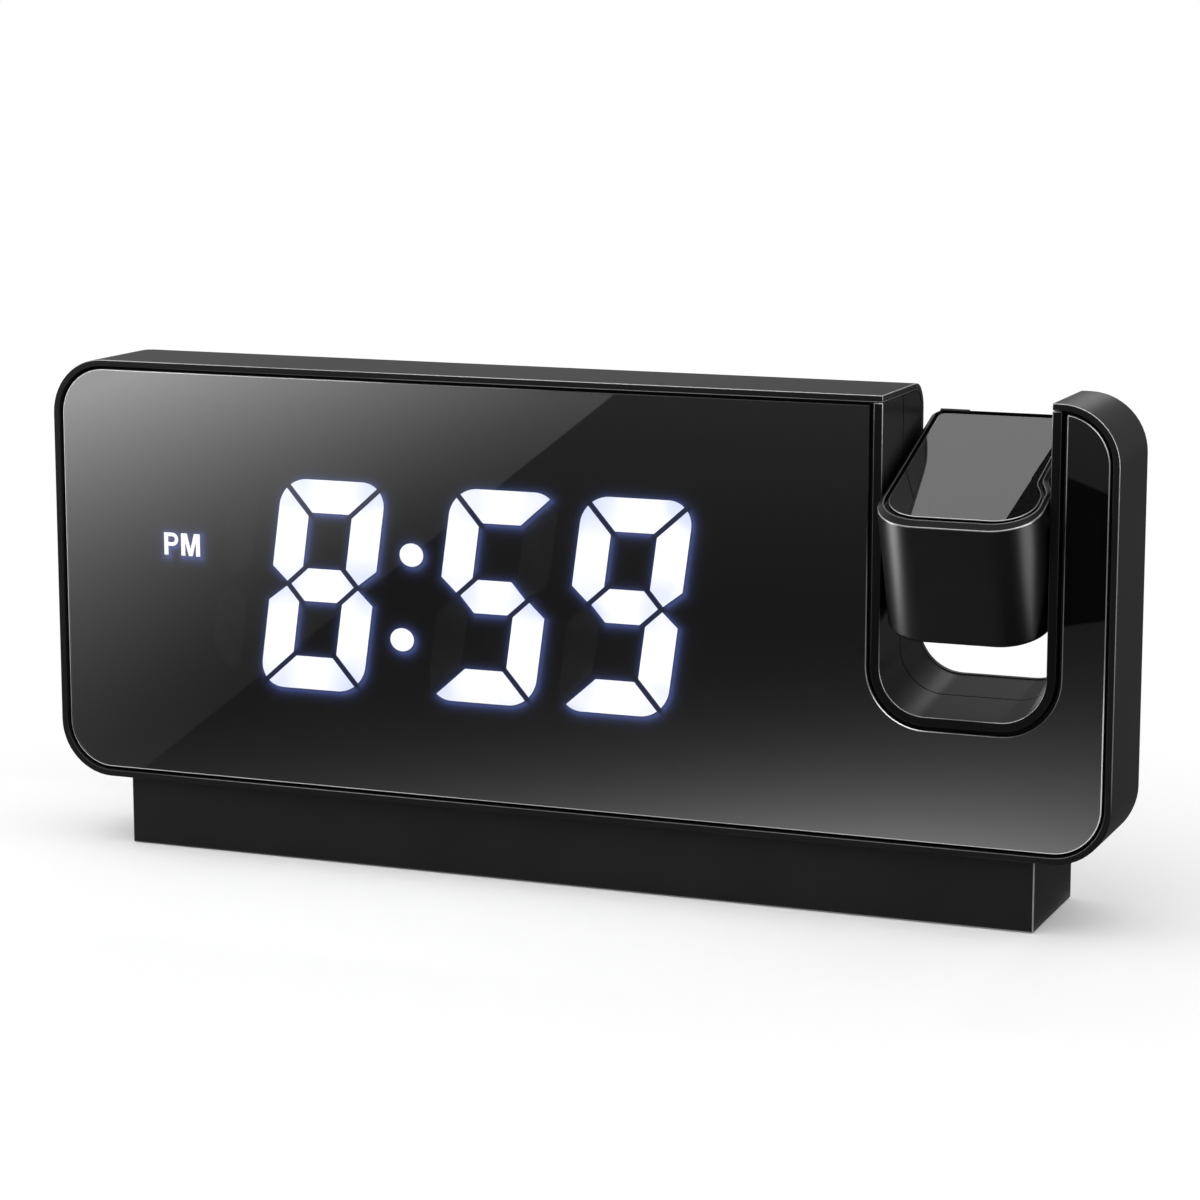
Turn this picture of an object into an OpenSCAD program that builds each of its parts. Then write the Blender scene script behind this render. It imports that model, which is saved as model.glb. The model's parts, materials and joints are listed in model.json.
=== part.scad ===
// Projection alarm clock: a mirror-faced case on a low base, with a projector
// head that tilts in a notch at the right. Millimetres, +X right, +Y back, +Z up.
// The origin is on the table, in the middle of the base.

/* [Case] */
// Width of the case
case_w = 186; // [170:1:230]
// Height of the case above the base
case_h = 72.5; // [70:0.5:90]
// Depth of the case, front plane to back
case_d = 22.4; // [21.6:0.2:30]
// Corner radius of the case, seen from the front
corner_r = 9.5; // [8.5:0.5:12]
// Rounding of the back edge
back_r = 4.5; // [2.5:0.5:6]
// Wall of the rear housing
wall = 2; // [1.6:0.1:2.4]
// Thin rim of the housing that surrounds the glass
rim_t = 1.1; // [0.8:0.1:1.4]
// Radius of the tubes that take the case screws
tube_r = 3; // [2.8:0.1:3.2]
// Distance of a case screw from the outer sides of the case
screw_in = 6.6; // [6.5:0.1:7.2]

/* [Front] */
// Thickness of the mirror panel
glass_t = 1.7; // [1.2:0.1:2.2]
// Depth of the mirror panel's face behind the front plane
glass_recess = 0.3; // [0.1:0.1:0.6]
// Open groove between the rim and the mirror panel
glass_gap = 0.55; // [0.3:0.05:0.9]
// Thickness of the front frame's plate
plate_t = 1.6; // [1.2:0.1:2]

/* [Base] */
// Width of the base
base_w = 161; // [130:1:165]
// Depth of the base
base_d = 24; // [22:0.5:40]
// Height of the base, table to case
base_h = 12; // [10:0.5:20]
// Distance of the base behind the front plane
base_setback = 2; // [0:0.5:4]
// Wall of the base
base_wall = 2; // [1.6:0.1:2.6]
// Length of the rubber grip pad
pad_l = 150; // [80:1:152]
// Width of the rubber grip pad
pad_w = 12; // [10:0.5:14]
// Thickness of the rubber grip pad
pad_t = 1; // [0.8:0.1:1.4]
// Height of the base plate above the table
pad_proud = 0.5; // [0.3:0.1:0.7]
// Distance of the outer base screws from the middle
base_screw_x = 62; // [40:1:64]

/* [Projector notch] */
// Width of the notch
notch_w = 27; // [26:0.5:32]
// Depth of the notch from the top of the case, at the front
notch_depth = 50.5; // [50:0.5:54]
// Radius of the notch's lower corners
notch_r = 7.5; // [5:0.5:10]
// Rise of the notch floor from front to back
notch_rise = 3; // [0:0.5:3]
// Width of the column to the right of the notch
column_w = 10.8; // [10.8:0.2:16]
// Thickness of the notch lining, seen as a trim around the notch
trim_w = 1.5; // [1.2:0.1:1.8]
// Open groove between the trim and the mirror panel
trim_gap = 0.8; // [0.4:0.1:1.2]

/* [Display] */
// Height of a digit
digit_h = 35.8; // [30:0.2:37]
// Width of a digit
digit_w = 19.2; // [17:0.2:20]
// Width of a segment
bar_t = 5.6; // [4:0.1:6]
// Gap between segments
bar_gap = 0.9; // [0.5:0.1:1.2]
// Radius of a digit's outer corners
digit_r = 4.5; // [3:0.1:5]
// Lean of the digits, in degrees
digit_lean = 7.8; // [0:0.2:10]
// Height of the digits' centre above the underside of the case
digit_rise = 36; // [34:0.5:38]
// Distance of the first digit from the left side of the case
digit_side = 27; // [25:0.5:29]
// Pitch of the two digits of a pair
pair_pitch = 23.3; // [21:0.1:24]
// Pitch of the hour and minute digits that stand beside the colon
colon_pitch = 31.1; // [28:0.1:32]
// Radius of a colon dot
dot_r = 2.15; // [1.5:0.05:2.5]
// Height of a colon dot above or below the digits' centre
dot_rise = 7.2; // [6:0.1:9]
// Width of the display block
block_w = 104; // [102:0.5:106]
// Height of the display block
block_h = 42; // [40:0.5:44]

/* [Electronics] */
// Thickness of the circuit boards
pcb_t = 1.2; // [0.8:0.1:1.6]
// Gap between the display board and the main board
board_gap = 3.4; // [3:0.1:3.6]
// Clearance between the main board and the left screw tubes
board_side = 3.9; // [2:0.1:6]
// Clearance above and below the main board
board_end = 3.25; // [2.5:0.05:5]
// Side of a key switch
switch_w = 6; // [5:0.2:6.4]
// Height of a key switch's body
switch_h = 2.9; // [2.4:0.1:3]
// Height of a plunger above its switch
plunger_out = 0.9; // [0.8:0.1:1]
// Radius of the buzzer
buzzer_r = 6; // [4.5:0.5:7]
// Diameter of the backup coin cell
cell_d = 20; // [16:1:20]
// Thickness of the backup coin cell
cell_t = 3.2; // [2:0.1:3.2]

/* [Buttons] */
// Length of a button
key_w = 9; // [7:0.5:11]
// Height of a button
key_h = 4.5; // [3.5:0.5:6]
// Height of a button above the back of the case
key_proud = 1.2; // [0.8:0.1:2]
// Length of a button's stem, flange to plunger
key_stem = 1.1; // [0.8:0.1:1.6]
// Pitch of the buttons
key_pitch = 15; // [14:0.5:15]
// Distance of the buttons below the top of the case
key_drop = 14.5; // [13.5:0.5:16]
// Clearance around a button
key_gap = 0.2; // [0.1:0.05:0.3]

/* [Projector head] */
// Length of the head, front to back
head_l = 39.6; // [36:0.2:40]
// Height of the head
head_h = 19.5; // [19:0.5:20]
// Top of the head above its pivot
head_top = 9.4; // [9.2:0.1:9.6]
// Distance from the pivot to the head's front
head_front = 18.5; // [17:0.5:19]
// Running gap between the head and the notch
head_gap = 0.35; // [0.25:0.05:0.5]
// Radius of the head's front corners
head_front_r = 7.5; // [5:0.5:8]
// Radius of the head's back corners
head_back_r = 2.5; // [1.5:0.5:3]
// Forward tilt of the head at rest, in degrees
head_tilt = 20; // [0:1:30]
// Wall of the head shell
head_wall = 1.6; // [1.4:0.1:1.6]
// Depth of the relief behind the pivot on the head's right side
relief = 1.8; // [1.2:0.1:1.8]
// Height of the rim that carries the window
bezel_t = 1.6; // [1.4:0.1:1.8]
// Thickness of the window
window_t = 1; // [0.8:0.1:1.1]
// Distance of the pivot below the top of the case
pivot_drop = 21.6; // [21:0.2:23]
// Radius of the pivot shafts
shaft_r = 3.5; // [3:0.1:4]
// Outer radius of the pivot bushes
bush_r = 4.5; // [4.4:0.1:5]
// Running clearance of a shaft or slide
run_gap = 0.05; // [0.03:0.01:0.08]

/* [Projector optics] */
// Radius of the focus ring
ring_r = 9.2; // [8.8:0.1:9.4]
// Width of the focus ring
ring_t = 4.6; // [4:0.2:4.8]
// Height of the focus ring above the back wall
ring_proud = 1.1; // [0.8:0.1:1.4]
// Number of grooves around the focus ring
ring_grooves = 40; // [24:1:48]
// Travel of the lens barrel
focus_travel = 1.5; // [0.8:0.1:1.5]
// Outer radius of the lens barrel
barrel_r = 6.4; // [6:0.1:6.4]
// Wall of the lens barrel
barrel_wall = 1.1; // [0.8:0.1:1.2]
// Wall of the fixed lens tube
guide_wall = 1; // [0.8:0.1:1.2]

/* [Hidden] */
$fn = 64;

// Finishes
case_black = "#202021";
trim_black = "#141415";
glass_black = "#2b2b2d";
lit_white = "#f2f5ff";
dim_grey = "#3a3b40";
board_green = "#1f5b3a";
chip_black = "#18181a";
steel = "#b9bbbf";
brass = "#c8a656";
rubber = "#2a2a2a";
acetal = "#e4e2dc";
clear = "#c9d6e4";

// Clearance of pieces that are fitted and stay still
fit = 0.1;
// Shadow line between the two halves of the notch lining
seam_gap = 0.2;
// Reach of a cut past the face that it opens
past = 1;
// Reach of the notch's outline above the case
notch_past = 20;

front_y = -(base_d / 2 + base_setback);
case_top = base_h + case_h;
mid_z = base_h + case_h / 2;
digit_z = base_h + digit_rise;

// Depths behind the front plane: the boards hang from the back wall, and the
// display block fills what is left in front of them
plate_at = glass_recess + glass_t;
ledge_at = plate_at + plate_t;
inner_at = case_d - wall;
key_flange_t = 0.7;
main_back = inner_at - key_flange_t - key_stem - plunger_out - switch_h;
main_at = main_back - pcb_t;
display_board_at = main_at - board_gap - pcb_t;
block_t = display_board_at - plate_at;
seam_at = case_d / 2;
split_at = seam_at + 1;

// Notch and pivot
notch_x = case_w / 2 - column_w - notch_w / 2;
notch_z = case_top - notch_depth;
floor_angle = atan(notch_rise / case_d);
lining_x = notch_w / 2 + trim_w;
pivot_y = front_y + seam_at;
pivot_z = case_top - pivot_drop;
flange_r = bush_r + 1.5;
flange_t = 1;
washer_t = 0.5;
clip_t = 0.8;
clip_at = lining_x + flange_t + washer_t + fit;
shaft_end = clip_at + clip_t + 0.6;

// Lead through the hollow left shaft, parted where it leaves the shaft
lead_r = 1;
lead_bore = 1.5;
lead_start = 1.2;
case_lead_bend = 3;
case_lead_drop = 6;
head_lead_bend = 2.4;
plug_w = 3.2;
plug_h = 4;

// Case screws: four corners and one on each edge beside the notch
post_r = 2.6;
screw_r = 1;
screw_head_r = 2.4;
screw_head_t = 1.6;
tube_floor = 2.2;
notch_screw_x = notch_x - lining_x - 4;
screw_z = [base_h + screw_in, case_top - screw_in];
screw_x = [-case_w / 2 + screw_in, notch_screw_x, case_w / 2 - screw_in];

// Main board, between the left screw tubes and those beside the notch
main_left = screw_x[0] + tube_r + board_side;
main_right = notch_screw_x - tube_r - fit;
main_w = main_right - main_left;
main_h = case_h - 2 * wall - 2 * board_end;
main_x = (main_left + main_right) / 2;
main_z = mid_z;
board_screw_in = 3.5;
board_post_r = 2.2;
board_screw_r = 0.8;
board_screw_head_r = 1.9;
board_screw_head_t = 1.2;
board_screw_x = [main_x - main_w / 2 + board_screw_in, main_x + main_w / 2 - board_screw_in];
board_screw_z = [main_z - main_h / 2 + board_screw_in, main_z + main_h / 2 - board_screw_in];

// Display
first_digit_x = digit_side - case_w / 2;
digit_x = [
  first_digit_x,
  first_digit_x + pair_pitch,
  first_digit_x + pair_pitch + colon_pitch,
  first_digit_x + 2 * pair_pitch + colon_pitch
];
block_shift = 17.5;
block_x = first_digit_x + pair_pitch + block_shift;
waist_in = 3;
waist_z = 2.95;
colon_x = first_digit_x + pair_pitch + colon_pitch / 2;
dot_skew = 0.92;
dot_drop = 1;
pm_side = 3;
pm_x = first_digit_x - pm_side;
pm_rise = 5.4;
pm_w = 7.6;
pm_h = 4.4;
led_size = [2, 0.6, 1.2];
// Reach of the display board past the block
board_rim = 1;

// Buttons
key_names = ["mode", "set", "alarm", "plus", "minus"];
key_side = 9;
first_key_x = main_left + key_side;
key_z = case_top - key_drop;
plunger_r = 1.6;
plunger_sunk = 1;
key_slack = 0.05;
key_flange_out = 1;
plunger_end = main_back + switch_h + plunger_out;

// Battery compartment
cell_side = 18;
cell_drop = 8;
cell_x = first_key_x + cell_side;
cell_z = mid_z - cell_drop;
cell_step = 0.5;
cell_lip = 1;
holder_wall = 1.2;
holder_h = 4;
holder_floor = 0.8;
door_side = 14;
door_end = 5;
door_w = cell_d + door_side;
door_h = cell_d + door_end;
door_t = 1.1;
door_r = 3;
door_ledge = 1.2;
door_tab = 4;
door_screw_in = 3;
door_screw_x = cell_x + door_w / 2 - door_screw_in;
door_screw_head_r = 1.8;
door_screw_head_t = 0.6;
door_screw_l = 3;
door_boss_r = 2.3;

// USB sockets: outer size of the shell, its wall, and its tongue
usb_wall = 0.3;
usb_gap = 0.25;
usb_sunk = 0.2;
usb_foot = 1;
usb_rise = 16;
usb_z = base_h + usb_rise;
usb_in = [8.9, 3.2];
usb_in_tongue = [6.6, 5.2, 0.7];
usb_out = [13.1, 5.7];
usb_out_tongue = [11, 5.5, 1.8];
usb_side = 19;
usb_pitch = 20;
usb_out_x = main_right - usb_side;
usb_in_x = usb_out_x - usb_pitch;

// Buzzer and its grille
speaker_rise = 6;
speaker_x = usb_out_x;
speaker_z = mid_z + speaker_rise;
speaker_hole_r = 0.8;
speaker_pitch = 2.6;
buzzer_gap = 0.6;
buzzer_t = inner_at - main_back - buzzer_gap;

// Parts of the main board: place from its middle, width, height and thickness
chips = [
  [-30, 8, 12, 12, 1.4], [-8, 16, 8, 6, 1.4], [34, 8, 6, 5, 1.6],
  [-20, 25, 3, 1.8, 1], [-11, 25, 3, 1.8, 1], [-2, 25, 3, 1.8, 1], [7, 25, 3, 1.8, 1]
];
can_r = 2.6;
can_x = 44;
can_z = [-8, -16];
can_gap = 0.6;
header_w = 36;
header_h = 2.6;
header_rise = 3;

// Base
base_plate_t = 2;
base_post_r = 3.2;
base_screw_r = 1.2;
base_boss_z = 3;

// Head, in its own frame: origin on the pivot, Y back and Z up when level
head_w = notch_w - 2 * head_gap;
head_back = head_l - head_front;
head_bottom = head_top - head_h;
relief_from = -8.5;
relief_to = -3.5;
cover_t = 1.4;
cover_ledge = 0.7;
bezel_side = 1.3;
bezel_front = 3;
bezel_back = 1.5;
window_ledge = 0.9;
boss_r = 5.5;
boss_in = 1.4;
head_board_t = 1;
head_board_at = head_bottom + cover_t;
head_board_front = -8;
board_clear = 0.3;
head_post_in = (head_front_r - head_wall - 1.2) * cos(45);
head_post_x = head_w / 2 - head_front_r + head_post_in;
head_post_y = head_front_r - head_front - head_post_in;
optic_y = head_back + ring_proud - ring_r;
guide_r = barrel_r - barrel_wall - run_gap;
flange_top = 0.7;
tube_flange_t = 1;
barrel_at = flange_top + 0.2;
barrel_t = 4.2;
lens_t = 1.6;
guide_hold = 0.9;
cover_screw_l = 5.5;
cover_screw_r = 0.8;
cover_screw_head_r = 1.4;
cover_screw_head_t = 0.6;

// ---------- helpers ----------

// An X-Z outline, thick along Y from depth t0 behind the front plane
module deep(t0, t) {
  translate([0, front_y + t0 + t, 0]) rotate([90, 0, 0]) linear_extrude(t) children();
}

// A rod along X
module rod_x(r, x0, x1) {
  translate([x0, 0, 0]) rotate([0, 90, 0]) cylinder(r = r, h = x1 - x0);
}

// A rod along Y, from depth t0 to depth t1
module rod_y(r, x, z, t0, t1) {
  translate([x, front_y + t0, z]) rotate([-90, 0, 0]) cylinder(r = r, h = t1 - t0);
}

// A rectangle with round corners
module round_rect(w, h, r) {
  square([w - 2 * r, h], center = true);
  square([w, h - 2 * r], center = true);
  for (sx = [-1, 1], sz = [-1, 1]) {
    translate([sx * (w / 2 - r), sz * (h / 2 - r)]) circle(r);
  }
}

// A bar with round ends, long along X
module oblong(w, h) {
  square([w - h, h], center = true);
  for (s = [-1, 1]) translate([s * (w - h) / 2, 0]) circle(h / 2);
}

// The case seen from the front, with its sides moved in
module case_outline(inset) {
  translate([0, mid_z]) round_rect(case_w - 2 * inset, case_h - 2 * inset, corner_r - inset);
}

// Half a case in section: flat at the front, round at the back
module rounded_section(half, depth, r) {
  translate([0, -half]) square([depth - r, 2 * half]);
  translate([0, r - half]) square([depth, 2 * (half - r)]);
  for (s = [-1, 1]) translate([depth - r, s * (half - r)]) circle(r);
}

// A corner of the case: a round post whose back edge is rounded
module rounded_post(radius, depth, r) {
  rotate_extrude() {
    square([radius, depth - r]);
    square([radius - r, depth]);
    translate([radius - r, depth - r]) intersection() {
      circle(r);
      square(2 * r);
    }
  }
}

// The case as a solid slab with a rounded back edge, its sides and back moved in
module case_slab(inset) {
  x = case_w / 2 - corner_r;
  z = case_h / 2 - corner_r;
  depth = case_d - inset;
  r = back_r - min(inset, back_r - 0.5);
  translate([0, front_y, mid_z]) {
    translate([-x, 0, 0]) rotate([90, 0, 90]) linear_extrude(2 * x)
      rounded_section(case_h / 2 - inset, depth, r);
    translate([0, 0, -z]) linear_extrude(2 * z) rotate(90)
      rounded_section(case_w / 2 - inset, depth, r);
    for (sx = [-1, 1], sz = [-1, 1]) {
      translate([sx * x, 0, sz * z]) rotate([-90, 0, 0])
        rounded_post(corner_r - inset, depth, r);
    }
  }
}

// The notch seen from the front, with its floor at 0, widened by grow
module notch_outline(grow) {
  w = notch_w + 2 * grow;
  r = notch_r + grow;
  top = notch_depth + notch_past;
  translate([-w / 2, r - grow]) square([w, top]);
  translate([r - w / 2, -grow]) square([w - 2 * r, top]);
  for (s = [-1, 1]) translate([s * (w / 2 - r), r - grow]) circle(r);
}

// The notch through the whole case, along its rising floor
module notch_tunnel(grow) {
  translate([notch_x, front_y, notch_z]) rotate([90 + floor_angle, 0, 0])
    linear_extrude(4 * case_d, center = true) notch_outline(grow);
}

// The lining of the notch between two depths, up to height top
module notch_lining(t0, t1, top) {
  difference() {
    intersection() {
      notch_tunnel(trim_w);
      deep(t0, t1 - t0) translate([notch_x - notch_w, base_h]) square([2 * notch_w, top - base_h]);
    }
    notch_tunnel(0);
  }
}

module at_pivot() {
  translate([notch_x, pivot_y, pivot_z]) children();
}

module in_head() {
  at_pivot() rotate([head_tilt, 0, 0]) children();
}

// The seats of the pivot bushes, half in each lining
module bush_seats() {
  at_pivot() for (s = [0, 1]) mirror([s, 0, 0]) {
    rod_x(bush_r + run_gap, notch_w / 2 - past, lining_x + 0.5);
  }
}

module at_case_screws() {
  for (x = screw_x, z = screw_z) translate([x, z]) children();
}

module at_board_screws() {
  for (x = board_screw_x, z = board_screw_z) translate([x, z]) children();
}

// Corners taken off the display where it comes near the main board's posts
module board_post_cuts() {
  reach = board_post_r + fit;
  for (x = [board_screw_x[0] + reach - case_w, board_screw_x[1] - reach]) {
    for (z = [board_screw_z[0] + reach - case_h, board_screw_z[1] - reach]) {
      translate([x, z]) square([case_w, case_h]);
    }
  }
}

module at_base_screws() {
  for (s = [-1, 1]) translate([s * base_screw_x, 0, 0]) children();
}

// ---------- case ----------

module speaker_grille() {
  circle(speaker_hole_r);
  for (ring = [1, 2], i = [0:6 * ring - 1]) {
    rotate(i * 60 / ring) translate([ring * speaker_pitch, 0]) circle(speaker_hole_r);
  }
}

module back_openings() {
  for (i = [0:len(key_names) - 1]) {
    deep(inner_at - past, wall + 2 * past) translate([first_key_x + i * key_pitch, key_z])
      oblong(key_w + 2 * key_gap, key_h + 2 * key_gap);
  }
  deep(inner_at - past, wall + 2 * past) translate([speaker_x, speaker_z]) speaker_grille();
  deep(inner_at - past, wall + 2 * past) translate([usb_in_x, usb_z])
    oblong(usb_in[0] + 2 * usb_gap, usb_in[1] + 2 * usb_gap);
  deep(inner_at - past, wall + 2 * past) translate([usb_out_x, usb_z])
    square([usb_out[0] + 2 * usb_gap, usb_out[1] + 2 * usb_gap], center = true);
  deep(inner_at - past, wall + 2 * past) translate([cell_x - door_tab / 2, cell_z])
    round_rect(door_w - 1.5 * door_tab - 2 * door_ledge, door_h - 2 * door_ledge, door_r - door_ledge);
  deep(case_d - door_t, door_t + past) translate([cell_x, cell_z])
    round_rect(door_w + 2 * fit, door_h + 2 * fit, door_r);
}

module rear_housing() {
  color(case_black) difference() {
    union() {
      difference() {
        case_slab(0);
        case_slab(wall);
        deep(-past, ledge_at + past) case_outline(rim_t);
      }
      intersection() {
        notch_lining(seam_at + seam_gap / 2, case_d + past, case_top + past);
        case_slab(0);
      }
      deep(split_at, inner_at - split_at + 0.5) at_case_screws() circle(tube_r);
      rod_y(door_boss_r, door_screw_x, cell_z, inner_at - door_screw_l, inner_at + wall / 4);
      at_base_screws() translate([0, pivot_y, base_h + wall - 0.5])
        cylinder(r = 2.8, h = base_boss_z + 0.5);
    }
    notch_tunnel(0);
    // Pocket under the rim for the top of the front lining
    deep(-past, seam_at + seam_gap / 2 + past)
      translate([notch_x - lining_x - fit, case_top - wall - past])
      square([2 * (lining_x + fit), wall + past - rim_t]);
    bush_seats();
    back_openings();
    // Screw bores with deep counterbores
    deep(split_at - past, wall + case_d) at_case_screws() circle(screw_r + 0.2);
    deep(split_at + tube_floor, case_d) at_case_screws() circle(screw_head_r + 0.2);
    rod_y(screw_r, door_screw_x, cell_z, inner_at - door_screw_l + 0.5, case_d + past);
    at_base_screws() translate([0, pivot_y, base_h - past])
      cylinder(r = base_screw_r, h = past + wall + base_boss_z - 0.6);
  }
}

module front_frame() {
  color(trim_black) difference() {
    union() {
      deep(plate_at, plate_t) difference() {
        case_outline(rim_t + fit);
        translate([block_x, digit_z]) square([block_w + 2 * fit, block_h + 2 * fit], center = true);
      }
      notch_lining(0, seam_at - seam_gap / 2, case_top - rim_t - fit);
      deep(plate_at + plate_t / 2, split_at - plate_at - plate_t / 2) at_case_screws() circle(post_r);
      deep(plate_at + plate_t / 2, main_at - plate_at - plate_t / 2) at_board_screws() circle(board_post_r);
    }
    notch_tunnel(0);
    bush_seats();
    deep(ledge_at + 1, case_d) at_case_screws() circle(screw_r);
    deep(ledge_at + 1, case_d) at_board_screws() circle(board_screw_r);
  }
}

module mirror_panel() {
  color(glass_black) deep(glass_recess, glass_t) difference() {
    case_outline(rim_t + glass_gap);
    translate([notch_x, notch_z]) notch_outline(trim_w + trim_gap);
  }
}

// ---------- display ----------

function arc_points(c, r, from, to) =
  [for (i = [0:4]) c + r * [cos(from + (to - from) * i / 4), sin(from + (to - from) * i / 4)]];
function flip(points, sx, sz) = [for (p = points) [p[0] * sx, p[1] * sz]];
function lean(points) = [for (p = points) [p[0] + p[1] * tan(digit_lean), p[1]]];

half_w = digit_w / 2;
half_h = digit_h / 2;
miter = bar_gap / sqrt(2);
miter_angle = asin(bar_gap / (2 * digit_r));
corner_at = [half_w - digit_r, half_h - digit_r];

// Right half of the top bar, from the inner corner round to the top edge
top_half = concat(
  [[half_w - bar_t - miter, half_h - bar_t]],
  arc_points(corner_at, digit_r, 45 + miter_angle, 90)
);
top_bar = concat(top_half, [for (i = [len(top_half) - 1:-1:0]) [-top_half[i][0], top_half[i][1]]]);

// Upper right bar, with its pointed foot at the waist
side_bar = concat(
  [[half_w - bar_t, half_h - bar_t - miter]],
  arc_points(corner_at, digit_r, 45 - miter_angle, 0),
  [
    [half_w, waist_z],
    [half_w - waist_in, bar_gap / 2],
    [half_w - bar_t, bar_gap / 2 + bar_t - waist_in]
  ]
);

// Middle bar, pointed at both ends
mid_tip = half_w - waist_in + bar_gap / 2 - bar_gap * sqrt(2);
mid_half = bar_t / 2;
middle_bar = [
  [mid_tip, 0], [mid_tip - mid_half, mid_half], [mid_half - mid_tip, mid_half],
  [-mid_tip, 0], [mid_half - mid_tip, -mid_half], [mid_tip - mid_half, -mid_half]
];

// One bar of a digit by its usual letter
function bar(letter) =
  letter == "a" ? top_bar :
  letter == "b" ? side_bar :
  letter == "c" ? flip(side_bar, 1, -1) :
  letter == "d" ? flip(top_bar, 1, -1) :
  letter == "e" ? flip(side_bar, -1, -1) :
  letter == "f" ? flip(side_bar, -1, 1) : middle_bar;

// Middle of a bar, where its lamp sits
function bar_middle(letter) =
  letter == "a" ? [0, half_h - bar_t / 2] :
  letter == "b" ? [half_w - bar_t / 2, half_h / 2] :
  letter == "c" ? [half_w - bar_t / 2, -half_h / 2] :
  letter == "d" ? [0, bar_t / 2 - half_h] :
  letter == "e" ? [bar_t / 2 - half_w, -half_h / 2] :
  letter == "f" ? [bar_t / 2 - half_w, half_h / 2] : [0, 0];

// Bars of the four digits: lit, and not lit
lit_bars = ["", "abcdefg", "acdfg", "abcdfg"];
unlit_bars = ["bc", "", "be", "e"];

module bars(choice) {
  for (d = [0:3]) {
    for (letter = choice[d]) translate([digit_x[d], digit_z]) polygon(lean(bar(letter)));
  }
}

module dots(r) {
  for (s = [-1, 1]) translate([colon_x + s * dot_skew, digit_z + s * dot_rise - dot_drop]) circle(r);
}

module pm_outline() {
  translate([pm_x, digit_z + pm_rise]) square([pm_w, pm_h], center = true);
}

module display_block() {
  color(chip_black) deep(plate_at, block_t) difference() {
    translate([block_x, digit_z]) square([block_w, block_h], center = true);
    board_post_cuts();
    bars(lit_bars);
    bars(unlit_bars);
    dots(dot_r);
    pm_outline();
  }
}

module lit_segments() {
  color(lit_white) deep(plate_at, block_t / 3) bars(lit_bars);
}

module unlit_segments() {
  color(dim_grey) deep(plate_at, block_t / 3) bars(unlit_bars);
}

module colon_dots() {
  color(lit_white) deep(plate_at, block_t / 3) dots(dot_r);
}

module pm_window() {
  color(lit_white) deep(plate_at, block_t / 3) pm_outline();
}

module display_board() {
  color(board_green) deep(display_board_at, pcb_t) difference() {
    translate([block_x, digit_z]) square([block_w + 2 * board_rim, block_h + 2 * board_rim], center = true);
    board_post_cuts();
  }
}

module led(at) {
  translate([at[0] - led_size[0] / 2, front_y + display_board_at - led_size[1], at[1] - led_size[2] / 2])
    cube(led_size);
}

module display_leds() {
  color(brass) {
    for (d = [0:3]) {
      for (letter = str(lit_bars[d], unlit_bars[d])) {
        led([digit_x[d], digit_z] + lean([bar_middle(letter)])[0]);
      }
    }
    for (s = [-1, 1]) led([colon_x + s * dot_skew, digit_z + s * dot_rise - dot_drop]);
    led([pm_x, digit_z + pm_rise]);
  }
}

// ---------- electronics ----------

module main_board() {
  color(board_green) deep(main_at, pcb_t) difference() {
    translate([main_x, main_z]) square([main_w, main_h], center = true);
    at_board_screws() circle(board_screw_r + 0.3);
  }
}

// Chips and two capacitor cans on the front of the main board
module board_chips() {
  color(chip_black) {
    for (c = chips) {
      deep(main_at - c[4], c[4]) translate([main_x + c[0], main_z + c[1]])
        square([c[2], c[3]], center = true);
    }
    for (z = can_z) rod_y(can_r, main_x + can_x, main_z + z, main_at - board_gap + can_gap, main_at);
  }
}

module board_header() {
  color(chip_black) deep(display_board_at + pcb_t, board_gap)
    translate([block_x, digit_z - block_h / 2 + header_rise]) square([header_w, header_h], center = true);
}

module key_switches() {
  color(chip_black) for (i = [0:len(key_names) - 1]) {
    difference() {
      deep(main_back, switch_h) translate([first_key_x + i * key_pitch, key_z])
        square(switch_w, center = true);
      rod_y(plunger_r + fit, first_key_x + i * key_pitch, key_z,
        main_back + switch_h - plunger_sunk - 0.8, main_back + switch_h + past);
    }
  }
}

module buzzer() {
  color(chip_black) difference() {
    rod_y(buzzer_r, speaker_x, speaker_z, main_back, main_back + buzzer_t);
    rod_y(1, speaker_x, speaker_z, main_back + buzzer_t - 1, main_back + buzzer_t + past);
  }
}

module cell_holder() {
  color(chip_black) difference() {
    rod_y(cell_d / 2 + holder_wall, cell_x, cell_z, main_back, main_back + holder_h);
    rod_y(cell_d / 2 + fit, cell_x, cell_z, main_back + holder_floor, main_back + holder_h + past);
  }
}

module coin_cell() {
  cell_at = main_back + holder_floor;
  color(steel) {
    rod_y(cell_d / 2, cell_x, cell_z, cell_at, cell_at + cell_t - cell_step);
    rod_y(cell_d / 2 - cell_lip, cell_x, cell_z, cell_at + cell_t - cell_step, cell_at + cell_t);
  }
}

module battery_door() {
  color(case_black) difference() {
    deep(case_d - door_t, door_t) translate([cell_x, cell_z]) round_rect(door_w, door_h, door_r);
    rod_y(screw_r + 0.2, door_screw_x, cell_z, case_d - door_t - past, case_d + past);
    rod_y(door_screw_head_r + 0.2, door_screw_x, cell_z, case_d - door_screw_head_t, case_d + past);
    // Finger grooves
    for (i = [-1:1]) {
      deep(case_d - 0.4, 1) translate([cell_x - door_w / 2 + 5 + i * 2, cell_z])
        square([0.8, 10], center = true);
    }
  }
}

module battery_door_screw() {
  color(steel) {
    rod_y(door_screw_head_r, door_screw_x, cell_z, case_d - door_screw_head_t, case_d - 0.1);
    rod_y(screw_r, door_screw_x, cell_z, inner_at - door_screw_l + 1, case_d - door_screw_head_t);
  }
}

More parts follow.
